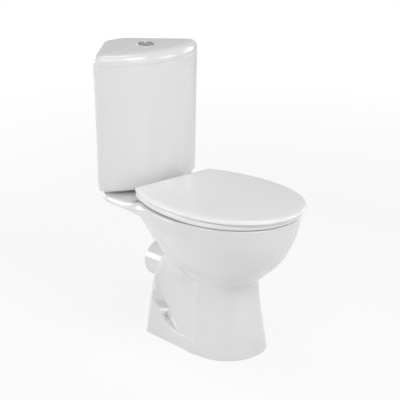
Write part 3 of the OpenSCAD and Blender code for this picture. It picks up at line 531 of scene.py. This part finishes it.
def pan_directions(z):
    """Angles about the middle of the pan; some follow the curved back edge of the foot's recess."""
    height = min(z, 180)
    v = min((180 - height) / 142, 1)
    edge = 55 + 136 * math.sqrt(1 - v * v)
    edge = PAN_MIDDLE + (edge - PAN_MIDDLE) * 76 / (web_half(height) - 7)
    deep = np.concatenate([
        np.linspace(0, edge - 18, 48)[:-1], edge + np.arange(-18, 10, 1.5), np.linspace(edge + 10, 215, 26),
    ])
    side = np.degrees(np.arctan2(deep - PAN_MIDDLE, 76))
    return np.radians(
        np.concatenate([
            np.linspace(-150, -30, 110), side, np.linspace(68, 112, 24), (180 - side)[::-1],
        ])
    )


def pan_reach(z, inset=0.0):
    """Distances from the middle of the pan to its outside at a height."""
    a = pan_directions(z)
    lo, hi = np.full(len(a), 2.0), np.full(len(a), 470.0)
    z = np.full(len(a), float(z))
    for _ in range(24):
        m = (lo + hi) / 2
        x, y = m * np.cos(a), PAN_MIDDLE + m * np.sin(a)
        inside = pan_form(x, y, z) < 0
        if inset:
            inside &= pan_form(x, y, z, True) + inset < 0
        lo, hi = np.where(inside, m, lo), np.where(inside, hi, m)
    return a, (lo + hi) / 2


def pan_ring(z, inset=0.0, at=None):
    a, r = pan_reach(z, inset)
    level = z if at is None else at
    return np.stack([r * np.cos(a), PAN_MIDDLE + r * np.sin(a), np.full(len(a), float(level))], 1)


# (height, half width, reach to the front, reach to the back)
BOWL_INSIDE = [
    (401, 128.5, 182, 154), (361, 128.5, 182, 154), (360.5, 142.5, 193, 165), (341, 138.5, 188, 156),
    (316, 129.5, 179, 137), (285, 114.5, 159, 98), (262, 101, 138, 50), (235, 86, 112, 40),
    (205, 67, 84, 38), (175, 56, 66, 36), (140, 46, 50, 34), (110, 38, 38, 32), (90, 32, 30, 28),
    (78, 22, 20, 20),
]


def egg(a, w, front, back, power=2.2):
    c, s = np.cos(a), np.sin(a)
    x = w * np.sign(c) * np.abs(c) ** (2 / power)
    y = np.where(s < 0, front, back) * np.sign(s) * np.abs(s) ** (2 / power)
    return x, y


def bowl_rings():
    """The inside of the bowl, from the rim's top edge down to the bottom of the sump."""
    a = pan_directions(RIM_Z)
    path = rounded_path([(b[0], b[1]) for b in BOWL_INSIDE], [0, 6, 5] + [14] * 10 + [8], 5)
    top_half, top_front, top_back = BOWL_INSIDE[0][1:]
    rings = []
    for drop, out in ((0.0, 7.0), (0.5, 4.6), (2.0, 2.2), (4.4, 0.6), (7.5, 0.0)):
        x, y = egg(a, top_half + out, top_front + out, top_back + out)
        rings.append(np.stack([x, y, np.full(len(a), RIM_Z - drop)], 1))
    table = np.array(BOWL_INSIDE[::-1], float)
    height, half, front, back = table.T
    for z, w in path[1:]:
        ahead, behind = np.interp(z, height, front - half), np.interp(z, height, back - half)
        x, y = egg(a, w, w + ahead, w + behind)
        rings.append(np.stack([x, y, np.full(len(a), z)], 1))
    return rings


def swept_tube(path, radii, sides=48):
    """Rings of a round tube in the middle plane through (depth, height) points."""
    path = np.asarray(path, float)
    a = np.linspace(0, 2 * math.pi, sides, endpoint=False)
    rings = []
    for i, (p, r) in enumerate(zip(path, radii)):
        q0, q1 = path[max(i - 1, 0)], path[min(i + 1, len(path) - 1)]
        t = (q1 - q0) / np.linalg.norm(q1 - q0)
        n = np.array([t[1], -t[0]])
        ring = [(r * math.cos(v), p[0] + n[0] * r * math.sin(v), p[1] + n[1] * r * math.sin(v)) for v in a]
        rings.append(np.array(ring))
    return rings


def trap_path():
    """(depth, height) and radius along the water's way from the sump to the spigot's end."""
    way = [(5, 108, 31), (30, 108, 31)]
    for v in np.radians(np.linspace(-90, 0, 13)):
        way.append((35 + 45 * math.cos(v), 153 + 45 * math.sin(v), 32))
    for v in np.radians(np.linspace(180, 30, 21)):
        way.append((125 + 45 * math.cos(v), 180 + 45 * math.sin(v), 32))
    drop = 125 + 90 * math.cos(math.radians(30))
    for v in np.radians(np.linspace(-150, -90, 9)):
        way.append((drop + 45 * math.cos(v), 225 + 45 * math.sin(v), 33))
    way += [(drop + 3, 180, 43), (290, 180, 43)]
    return way


def cutter(name, rings):
    points, faces = joined_rings(rings)
    return make_piece(name, points, faces, glazed_china(), None)


def upright(x, depth, r, z0, z1, turns=48):
    rings = lathe([(r, z0), (r, z1)], turns)
    return [ring + (x, depth, 0) for ring in rings]


def sideways(x0, x1, depth, z, r, turns=48):
    rings = lathe([(r, x0), (r, x1)], turns, "X")
    return [ring + (0, depth, z) for ring in rings]


class TOILET_OT_pan(Operator):
    """Make the glazed pan: bowl, rim, shelf, curved foot and outlet spigot"""

    bl_idname = "toilet.pan"
    bl_label = "Pan"

    def execute(self, context):
        edge = context.scene.toilet_sizes.edge_radius / MM
        china = glazed_china()
        # (from, to, step) of the heights, finest where the form turns most
        stretches = [(5, 36, 3.0), (36, 340, 2.0), (340, 367, 2.0), (367, 379, 0.8), (379, 388, 1.5),
                     (388, 390.9, 0.5)]
        levels = np.concatenate([np.arange(*stretch) for stretch in stretches])
        rings = [pan_ring(45, 26, 55), pan_ring(45, 14), pan_ring(25, 14), pan_ring(2, 14, 0)]
        rings += [pan_ring(2, 2.2, 0), pan_ring(2, 0.7, 0.7), pan_ring(2, 0, 2.4)]
        rings += [pan_ring(z) for z in levels]
        outer, inner = pan_ring(SHELF_Z - 0.04, 0, SHELF_Z), pan_ring(SHELF_Z + 0.04, 0, SHELF_Z)
        gap = np.maximum(np.linalg.norm(outer - inner, axis=1), 1e-6)[:, None]
        for step in (0.0, 2.0, 8.0):
            rings.append(outer + (inner - outer) * np.minimum(step / gap, step / 20))
        rings += [pan_ring(z) for z in SHELF_Z + np.array([0.04, 0.25, 0.6, 1.1, 1.8, 2.6, 3.4, 4.2])]
        for v in np.radians(np.linspace(0, 90, 9)):
            z = RIM_Z - edge * (1 - math.sin(v))
            rings.append(pan_ring(min(z, RIM_Z - 0.06), max(edge * (1 - math.cos(v)), 0.001), z))
        rings += bowl_rings()
        points, faces = joined_rings(rings)
        pan = make_piece("Pan", points, faces, china, None)
        way = trap_path()
        cuts = [cutter("cut_trap", swept_tube([w[:2] for w in way], [w[2] for w in way]))]
        cuts.append(cutter("cut_flush", upright(0, VALVE_BACK, 33, 352, 395)))
        channel_r, channel_z = 18, 364
        channel = [np.array([(channel_r * math.cos(v), d, channel_z + channel_r * math.sin(v))
                             for v in np.linspace(0, 2 * math.pi, 40, endpoint=False)])
                   for d in (300, 145)]
        cuts.append(cutter("cut_channel", channel))
        screw = {"depth": 134, "z": 67}
        for s in (-1, 1):
            cuts.append(cutter("cut_hinge", upright(73 * s, 181, 7, 366, 410)))
            cuts.append(cutter("cut_bolt", upright(BOLT_X * s, VALVE_BACK, BOLT_HOLE_R, 340, 395)))
            cuts.append(cutter("cut_wing", upright(BOLT_X * s, VALVE_BACK, 22, 355, 375)))
            cuts.append(cutter("cut_screw", sideways(*sorted((50 * s, 110 * s)), **screw, r=3.5)))
            cuts.append(cutter("cut_spot", sideways(*sorted((80 * s, 112 * s)), **screw, r=7, turns=64)))
        cavity = [(-60, 108), (60, 108), (60, 166), (-60, 166)]
        cuts.append(cutter("cut_bracket", [np.array([(x, y, z) for x, y in cavity]) for z in (-1, 81)]))
        carved(pan, cuts)
        smooth(pan, 42)
        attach(pan, "toilet")
        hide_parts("pan")
        inner, outer = 43.0, 51.0
        profile = rounded_path(
            [(outer + 3, 150), (outer + 0.6, 224), (outer, 224.6), (outer, 272.2), (outer - 2, SPIGOT_END),
             (inner + 2, SPIGOT_END), (inner, 272.2), (inner, 205)],
            [0, 0.3, 0.3, 2, 2, 2, 2, 0],
        )
        turns = 96
        v = np.linspace(0, 2 * math.pi, turns, endpoint=False)
        spigot = [np.stack([r * np.cos(v), np.full(turns, d), SPIGOT_Z - r * np.sin(v)], 1)
                  for r, d in profile]
        points, faces = joined_rings(spigot, "open", "open")
        make_piece("Outlet_spigot", points, faces, china, "toilet")
        return {"FINISHED"}


# ---- Cistern and its lid -------------------------------------------------------------------


def corner_plan(e):
    """Plan of the cistern drawn in by e: arched front, rounded tips, two faces along the walls."""
    width = bpy.context.scene.toilet_sizes.cistern_width / MM
    tip_back = WALL_LINE - width / 2
    bulge = 79.0
    front_r = ((width / 2) ** 2 + bulge**2) / (2 * bulge)
    middle = tip_back - bulge + front_r
    r, k = front_r - e, WALL_LINE - e * math.sqrt(2)
    t = max(16 - e / 2, 3)
    m = k - t * math.sqrt(2) - middle
    q = math.sqrt(2 * (r - t) ** 2 - m * m)
    tip = np.array([(m + q) / 2, middle + (m - q) / 2])
    a = math.degrees(math.atan2(tip[1] - middle, tip[0]))
    b = max(30 - e, 3)
    back = BACK_REACH - e - b
    corner = np.array([k - b * math.sqrt(2) - back, back])
    half = []
    for f in np.radians(np.linspace(-90, a, 48)):
        half.append((r * math.cos(f), middle + r * math.sin(f)))
    for f in np.radians(np.linspace(a, 45, 16))[1:]:
        half.append((tip[0] + t * math.cos(f), tip[1] + t * math.sin(f)))
    end = corner + b * np.array([math.cos(math.radians(45)), math.sin(math.radians(45))])
    last = np.array(half[-1])
    for share in np.linspace(0, 1, 14)[1:-1]:
        half.append(tuple(last + (end - last) * share))
    for f in np.radians(np.linspace(45, 90, 12)):
        half.append((corner[0] + b * math.cos(f), corner[1] + b * math.sin(f)))
    half += [(corner[0] * 0.5, BACK_REACH - e), (0, BACK_REACH - e)]
    half = np.array(half)
    return np.vstack([half, half[-2:0:-1] * (-1, 1)])


def level(outline, z):
    return np.column_stack([outline, np.full(len(outline), float(z))])


def shrunk(outline, share):
    return np.column_stack([outline[:, 0] * share, VALVE_BACK + (outline[:, 1] - VALVE_BACK) * share])


def wall_hole(s):
    """Rings of a wall screw's hole, square to the cistern's face on the side s."""
    r, place = 4, (104 * s, 399, 710)
    d = np.array([s, 1.0]) / math.sqrt(2)
    rings = []
    for reach in (-30, 30):
        rings.append(np.array([
            (place[0] + d[0] * reach - d[1] * r * math.cos(v) * s,
             place[1] + d[1] * reach + d[0] * r * math.cos(v) * s, place[2] + r * math.sin(v))
            for v in np.linspace(0, 2 * math.pi, 24, endpoint=False)]))
    return rings if s > 0 else rings[::-1]


class TOILET_OT_cistern(Operator):
    """Make the three-cornered cistern and the domed lid on it"""

    bl_idname = "toilet.cistern"
    bl_label = "Cistern"

    def execute(self, context):
        sizes = context.scene.toilet_sizes
        top, crown = sizes.cistern_top / MM, sizes.lid_crown / MM
        china = glazed_china()
        rings = []
        for v in np.radians(np.linspace(0, 90, 9)):
            plan = corner_plan(6 + 13 * (1 - math.sin(v)))
            rings.append(level(plan, CISTERN_Z + 13 * (1 - math.cos(v))))
        for share in np.linspace(0, 1, 20)[1:]:
            z = CISTERN_Z + 13 + (top - 2 - CISTERN_Z - 13) * share
            rings.append(level(corner_plan(6 * (top - z) / (top - CISTERN_Z - 13)), z))
        for v in np.radians(np.linspace(0, 90, 5))[1:]:
            rings.append(level(corner_plan(1.6 * (1 - math.cos(v))), top - 1.6 + 1.6 * math.sin(v)))
        rings += [level(corner_plan(9), top), level(corner_plan(10), top - 1)]
        rings += [level(corner_plan(15.8), 423), level(corner_plan(19), 415.5), level(corner_plan(25), 413)]
        points, faces = joined_rings(rings)
        cistern = make_piece("Cistern", points, faces, china, None)
        cuts = [cutter("cut_outlet", upright(0, VALVE_BACK, 30, 395, 420)),
                cutter("cut_inlet", upright(0, 421, 11, 395, 420))]
        for s in (-1, 1):
            cuts.append(cutter("cut_bolt", upright(BOLT_X * s, VALVE_BACK, BOLT_HOLE_R, 395, 420)))
            cuts.append(cutter("cut_wall", wall_hole(s)))
        carved(cistern, cuts)
        smooth(cistern, 42)
        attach(cistern, "toilet")
        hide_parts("cistern")

        high = crown - top
        rings = [level(corner_plan(26), crown - 14), level(corner_plan(21), top + 10),
                 level(corner_plan(19), top - 8), level(corner_plan(12), top - 8),
                 level(corner_plan(12), top), level(corner_plan(3), top)]
        for v in np.radians(np.linspace(0, 90, 5)):
            rings.append(level(corner_plan(1.6 * (1 - math.sin(v))), top + 1.6 * (1 - math.cos(v))))
        # (share of the plan, drawn in, share of the height)
        dome = [(1, 0, 0.06), (1, 0, 0.18), (1, 0, 0.30), (1, 2.5, 0.52), (1, 7, 0.70), (0.95, 9, 0.82),
                (0.88, 10, 0.885), (0.75, 10, 0.935), (0.55, 10, 0.975), (0.33, 10, 1.0)]
        t = np.arange(len(dome))
        fine = np.linspace(0.3, len(dome) - 1, 44)
        shares = curve(list(zip(t, [d[0] for d in dome])), fine)
        insets = curve(list(zip(t, [d[1] for d in dome])), fine)
        lifts = curve(list(zip(t, [d[2] for d in dome])), fine)
        for share, inset, lift in zip(shares, np.maximum(insets, 0), lifts):
            rings.append(level(shrunk(corner_plan(inset), min(share, 1)), top + high * min(lift, 1)))
        points, faces = joined_rings(rings)
        lid = make_piece("Cistern_lid", points, faces, china, None)
        carved(lid, [cutter("cut_button", upright(0, VALVE_BACK, 19.5, crown - 40, crown + 5, 96))])
        smooth(lid, 42)
        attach(lid, "toilet")
        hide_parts("cistern_lid")
        return {"FINISHED"}


# ---- Seat and lid --------------------------------------------------------------------------

SEAT_Z, SEAT_T, LID_Z, LID_H = 404.0, 17.0, 421.5, 13.5
SEAT_BACK, LID_BACK, SEAT_BACK_HALF, SEAT_FRONT, SEAT_HALF = 207.8, 209.0, 136.0, 233.0, 181.5
HINGE_BACK, AXIS_Z = 199.0, 412.75


def seat_plan(e=0.0, rear=SEAT_BACK):
    """Outline of the seat drawn in by e: oval front, sides narrowing to a straight back."""
    w, front, r = SEAT_HALF - e, SEAT_FRONT - e, 8 - e / 4
    slant, power = math.radians(26), 2.14
    side = (SEAT_BACK_HALF - e, rear - e - r + r * math.sin(slant))
    middle = (side[0] - r * math.cos(slant), rear - e - r)
    half = []
    for a in np.radians(np.linspace(0, 90, 56)):
        half.append((w * math.sin(a) ** (2 / power), -front * math.cos(a) ** (2 / power)))
    for s in np.linspace(0, 1, 30)[1:-1]:
        half.append((w - (w - side[0]) * s**2.1, side[1] * s))
    for a in np.linspace(slant, math.pi / 2, 14):
        half.append((middle[0] + r * math.cos(a), middle[1] + r * math.sin(a)))
    for s in np.linspace(1, 0, 9)[1:]:
        half.append((middle[0] * s, rear - e))
    half = np.array(half)
    half[0][0] = 0
    return np.vstack([half, half[-2:0:-1] * (-1, 1)])


def hole_ring(e):
    """Outline of the seat's hole, widened by e, with a point for each of the seat's outline."""
    middle, power = -64, 2.2
    p = seat_plan(0)
    a = np.arctan2(p[:, 1] - middle, p[:, 0])
    reach = np.where(p[:, 1] < middle, 112.0, 164.0) + e
    w = 113.0 + e
    r = (np.abs(np.cos(a) / w) ** power + np.abs(np.sin(a) / reach) ** power) ** (-1 / power)
    return np.column_stack([r * np.cos(a), middle + r * np.sin(a)])


def lid_plan(e):
    """Outline of the lid drawn in by e from its own edge."""
    p = seat_plan(0, LID_BACK)
    ahead = (SEAT_FRONT + 13 - e) / SEAT_FRONT
    y = np.where(p[:, 1] < 0, p[:, 1] * ahead, p[:, 1] * (1 - e / LID_BACK))
    return np.column_stack([p[:, 0] * (1 - (e - 2) / (SEAT_HALF - 3)), y])


class TOILET_OT_seat(Operator):
    """Make the seat with its hole and the lid that closes over it"""

    bl_idname = "toilet.seat"
    bl_label = "Seat and lid"

    def execute(self, context):
        white = seat_plastic()
        top = SEAT_Z + SEAT_T
        outer, hole = seat_plan(0), hole_ring(0)
        rings = [level(seat_plan(6), SEAT_Z), level(seat_plan(3.4), SEAT_Z + 0.4),
                 level(seat_plan(1.5), SEAT_Z + 1.6), level(seat_plan(0.5), SEAT_Z + 3.4),
                 level(seat_plan(0), SEAT_Z + SEAT_T * 0.5), level(seat_plan(0.5), SEAT_Z + SEAT_T * 0.7),
                 level(seat_plan(1.9), SEAT_Z + SEAT_T * 0.87), level(seat_plan(4.2), top - 0.6),
                 level(seat_plan(7.5), top - 0.2)]
        for t in np.linspace(0.12, 0.72, 9):
            drop = 0.0 if t < 0.45 else ((t - 0.45) / 0.3) ** 2 * 0.9
            rings.append(level(outer + (hole - outer) * t, top - drop))
        rings += [level(hole_ring(12), top - 1.9), level(hole_ring(7), top - 3.0),
                  level(hole_ring(3), top - 5.2), level(hole_ring(0.8), top - 8.0),
                  level(hole_ring(0), top - 10.2), level(hole_ring(0.8), SEAT_Z + 2.0),
                  level(hole_ring(3), SEAT_Z + 0.4), level(hole_ring(6), SEAT_Z)]
        points, faces = joined_rings(rings, "open", "join")
        seat = make_piece("Seat", points, faces, white, None)
        cuts = []
        for s in (-1, 1):
            box = [np.array([(x * s, y, z) for x, y in ((60, 187), (100, 187), (100, 232), (60, 232))])
                   for z in (400, 424)]
            if s < 0:
                box = [b[::-1] for b in box]
            cuts.append(cutter("cut_notch", box))
        carved(seat, cuts)
        smooth(seat, 42)
        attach(seat, "seat")
        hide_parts("seat_ring")

        crown = LID_Z + LID_H
        rings = [level(lid_plan(25), crown - 4.6), level(lid_plan(12), crown - 5.2),
                 level(lid_plan(7.5), crown - 6.6), level(lid_plan(4.6), crown - 9),
                 level(lid_plan(4), LID_Z + 2), level(lid_plan(3.4), LID_Z), level(lid_plan(1.8), LID_Z)]
        # (drawn in from the edge, height above the lid's underside)
        edge = [(0.7, 0.4), (0.15, 1.2), (0, 2.4), (0.2, 4.2), (0.8, 6.0), (1.9, 7.8), (3.6, 9.3),
                (6.2, 10.6), (10, 11.5), (16, 12.15), (26, 12.7), (40, 13.15), (60, 13.4), (85, 13.5)]
        for e, lift in edge:
            rings.append(level(lid_plan(e), LID_Z + lift))
        points, faces = joined_rings(rings)
        lid = make_piece("Lid", points, faces, white, "lid", ["seat_lid"])
        smooth(lid, 50)
        for s, side in ((-1, "left"), (1, "right")):
            profile = rounded_path([(4.08, 85), (7.5, 85), (7.5, 97), (4.08, 97)], [0, 1.2, 1.2, 0], 4)
            rings = lathe(profile, 48, "X")
            rings = [(r * (s, 1, 1) + (0, HINGE_BACK, AXIS_Z)) for r in rings]
            if s < 0:
                rings = rings[::-1]
            points, faces = joined_rings(rings, "open", "join")
            make_piece("Lid_knuckle_" + side, points, faces, white, "lid")
            plan = rounded_path([(85, 194), (97, 194), (97, 204), (85, 204), (85, 194)], [0, 1, 1, 1, 0], 3)
            web = [np.array([(x * s, y, z) for x, y in plan[:-1]]) for z in (418, 431)]
            if s < 0:
                web = [w[::-1] for w in web]
            points, faces = joined_rings(web)
            make_piece("Lid_web_" + side, points, faces, white, "lid")
        return {"FINISHED"}


# ---- Fittings: the CAD pieces that keep their shape ------------------------------------------


def dressed(names, material, bevel=0.0004):
    """Gives CAD nodes a finish and a small rounding along their edges."""
    for name in names:
        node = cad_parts[name]
        node.data.materials.clear()
        node.data.materials.append(material)
        node.data.shade_smooth()
        node.data.set_sharp_from_angle(angle=math.radians(32))
        if bevel:
            step = node.modifiers.new("edges", "BEVEL")
            step.width, step.segments, step.limit_method = bevel, 2, "ANGLE"
            step.angle_limit, step.harden_normals = math.radians(38), False


class TOILET_OT_buttons(Operator):
    """Give the hinge posts their chrome, and the bezel and the buttons a darker chrome with painted shade"""

    bl_idname = "toilet.buttons"
    bl_label = "Chrome pieces"

    def execute(self, context):
        plate = chrome()
        # A darker copy of the chrome: painted shade in place of the dark reflections on the bezel and flush
        # buttons.
        shaded_chrome = chrome("chrome_painted_dark", (0.42, 0.43, 0.45))
        dressed(["button_bezel"], shaded_chrome, 0.0002)
        dressed(["full_flush_button", "half_flush_button"], shaded_chrome, 0.0007)
        dressed(["hinge_posts"], plate, 0.0010)
        return {"FINISHED"}


class TOILET_OT_fittings(Operator):
    """Give the valves, bolts, seals and brackets their finishes"""

    bl_idname = "toilet.fittings"
    bl_label = "Fittings"

    def execute(self, context):
        steel = drawn_metal("drawn_steel", (0.58, 0.59, 0.60))
        brass = drawn_metal("plain_brass", (0.70, 0.52, 0.24), 0.3)
        natural = moulded("natural_nylon", (0.78, 0.78, 0.74))
        blue = moulded("blue_moulding", (0.045, 0.15, 0.36))
        white = seat_plastic()
        rubber = soft_rubber()
        dressed(["hinge_pins", "hinge_screws", "lever_pin", "float_link", "arm_pin", "side_screws"],
                steel, 0.0002)
        dressed(["full_button_spring", "half_button_spring"], steel, 0)
        dressed(["coupling_bolts", "coupling_washers", "coupling_wing_nuts"], brass, 0.0003)
        dressed(["bezel_nut", "full_push_rod", "half_push_rod", "half_flush_catch", "valve_base", "valve_nut",
                 "overflow_tube", "flush_float", "fill_valve_stem", "inlet_nut", "fill_float",
                 "floor_brackets"], natural)
        dressed(["full_flush_lever", "half_flush_lever", "valve_cage", "fill_valve_head",
                 "fill_valve_arm"], blue)
        dressed(["hinge_anchors", "valve_washer", "flush_seal", "cistern_gasket", "coupling_seals",
                 "inlet_washer"], rubber, 0.0003)
        dressed(["seat_buffers", "lid_buffers", "screw_caps"], white, 0.0003)
        return {"FINISHED"}


# ---- Stage ---------------------------------------------------------------------------------


FLOOR_HALF = 40.0
WHITE = (1, 1, 1, 1)
# (degrees round from the right-hand side, degrees up, watts)
LAMPS = [(0, 10, 10), (90, 10, 25), (135, 10, 25), (180, 10, 20), (270, 10, 10), (315, 10, 15),
         (225, 45, 15), (270, 45, 30), (0, 90, 20)]
LAMP_AIM, LAMP_REACH, LAMP_SIZE = (0.0, 0.0, 0.4), 3.2, 1.6
CAMERA_PLACE, CAMERA_LENS = (-2.34507, -2.64598, 1.54849), 122.25
CAMERA_RIGHT, CAMERA_UP = (0.7460, -0.6659, 0.0), (0.2075, 0.2325, 0.9502)


def pale_floor(s):
    """A matt floor that the camera sees as nearly white; near the toilet it keeps the shadow."""
    colour = bpy.context.scene.toilet_colours.floor
    rays = s.node("ShaderNodeLightPath")
    reach = s.add("ShaderNodeVectorMath", {"operation": "LENGTH"}, {0: s.places()}, "Value")
    white = s.add(
        "ShaderNodeMapRange", None,
        {"Value": reach, "From Min": 1.2, "From Max": 3.0, "To Min": 0.84, "To Max": 1.0},
    )
    seen = Value(s, rays.outputs["Is Camera Ray"]) * white
    seen = seen + Value(s, rays.outputs["Is Glossy Ray"]) * 0.5
    matt = s.node(
        "ShaderNodeBsdfPrincipled", None,
        {
            "Base Color": s.blend(s.noise(3.0, 2.0), four(colour, 0.99), four(colour, 1.0)),
            "Roughness": 0.9,
            "Specular IOR Level": 0.0,
        },
    )
    glow = s.node("ShaderNodeEmission", None, {"Color": WHITE, "Strength": 1.0})
    return s.node(
        "ShaderNodeMixShader", None,
        {0: seen, 1: Value(s, matt.outputs[0]), 2: Value(s, glow.outputs[0])},
    )


def make_floor(scene):
    mesh = bpy.data.meshes.new("Floor")
    half = FLOOR_HALF
    mesh.from_pydata([(-half, -half, 0), (half, -half, 0), (half, half, 0), (-half, half, 0)], [],
                     [(0, 1, 2, 3)])
    floor = bpy.data.objects.new("Floor", mesh)
    scene.collection.objects.link(floor)
    mesh.materials.append(finish_of("pale_floor", pale_floor))


def make_world(scene):
    """A weak even light; the camera sees white in its place, and reflections about half of that."""
    world = bpy.data.worlds.new("Studio")
    scene.world = world
    world.use_nodes = True
    s = Shades(world.node_tree)
    rays = s.node("ShaderNodeLightPath")
    seen = Value(s, rays.outputs["Is Camera Ray"]) + Value(s, rays.outputs["Is Glossy Ray"]) * 0.55
    soft = s.node("ShaderNodeBackground", None, {"Color": WHITE, "Strength": 0.10})
    bright = s.node("ShaderNodeBackground", None, {"Color": WHITE, "Strength": 1.0})
    mixed = s.node(
        "ShaderNodeMixShader", None,
        {0: seen, 1: Value(s, soft.outputs[0]), 2: Value(s, bright.outputs[0])},
    )
    s.node("ShaderNodeOutputWorld", None, {"Surface": Value(s, mixed.outputs[0])})


def make_lamps(scene):
    aim = Vector(LAMP_AIM)
    for turn, rise, watts in LAMPS:
        a, b = math.radians(turn), math.radians(rise)
        way = Vector((math.cos(a) * math.cos(b), math.sin(a) * math.cos(b), math.sin(b)))
        name = "Lamp_%d_%d" % (turn, rise)
        light = bpy.data.lights.new(name, "AREA")
        light.shape, light.size, light.energy = "DISK", LAMP_SIZE, watts
        lamp = bpy.data.objects.new(name, light)
        scene.collection.objects.link(lamp)
        place = aim + way * LAMP_REACH
        lamp.location = place
        lamp.rotation_euler = (aim - place).to_track_quat("-Z", "Y").to_euler()


def make_camera(scene):
    sight = bpy.data.cameras.new("Camera")
    sight.sensor_width, sight.lens = 36.0, CAMERA_LENS
    sight.clip_start, sight.clip_end = 0.1, 200.0
    camera = bpy.data.objects.new("Camera", sight)
    scene.collection.objects.link(camera)
    right, up = Vector(CAMERA_RIGHT).normalized(), Vector(CAMERA_UP).normalized()
    back = right.cross(up).normalized()
    up = back.cross(right).normalized()
    turn = Matrix((right, up, back)).transposed()
    camera.matrix_world = Matrix.Translation(CAMERA_PLACE) @ turn.to_4x4()
    scene.camera = camera


class TOILET_OT_stage(Operator):
    """Set up the pale floor, the soft lights and the camera"""

    bl_idname = "toilet.stage"
    bl_label = "Stage"

    def execute(self, context):
        context.scene.view_settings.view_transform = "Standard"
        make_floor(context.scene)
        make_world(context.scene)
        make_lamps(context.scene)
        make_camera(context.scene)
        return {"FINISHED"}


class TOILET_PT_panel(Panel):
    bl_idname = "TOILET_PT_panel"
    bl_label = "Corner toilet"
    bl_space_type = "VIEW_3D"
    bl_region_type = "UI"
    bl_category = "Toilet"

    def draw(self, context):
        column = self.layout.column(align=True)
        for group in (context.scene.toilet_sizes, context.scene.toilet_colours):
            for key in group.__annotations__:
                column.prop(group, key)
        for step in STEPS:
            column.operator(step.bl_idname)


STEPS = (TOILET_OT_stage, TOILET_OT_pan, TOILET_OT_cistern, TOILET_OT_seat, TOILET_OT_buttons,
         TOILET_OT_fittings)
CLASSES = (ToiletSizes, ToiletColours) + STEPS + (TOILET_PT_panel,)


def register():
    for item in CLASSES:
        bpy.utils.register_class(item)
    bpy.types.Scene.toilet_sizes = PointerProperty(type=ToiletSizes)
    bpy.types.Scene.toilet_colours = PointerProperty(type=ToiletColours)


def unregister():
    del bpy.types.Scene.toilet_colours
    del bpy.types.Scene.toilet_sizes
    for item in reversed(CLASSES):
        bpy.utils.unregister_class(item)


def main():
    register()
    bpy.ops.toilet.stage()
    bpy.ops.toilet.pan()
    bpy.ops.toilet.cistern()
    bpy.ops.toilet.seat()
    bpy.ops.toilet.buttons()
    bpy.ops.toilet.fittings()


if __name__ == "__main__":
    main()
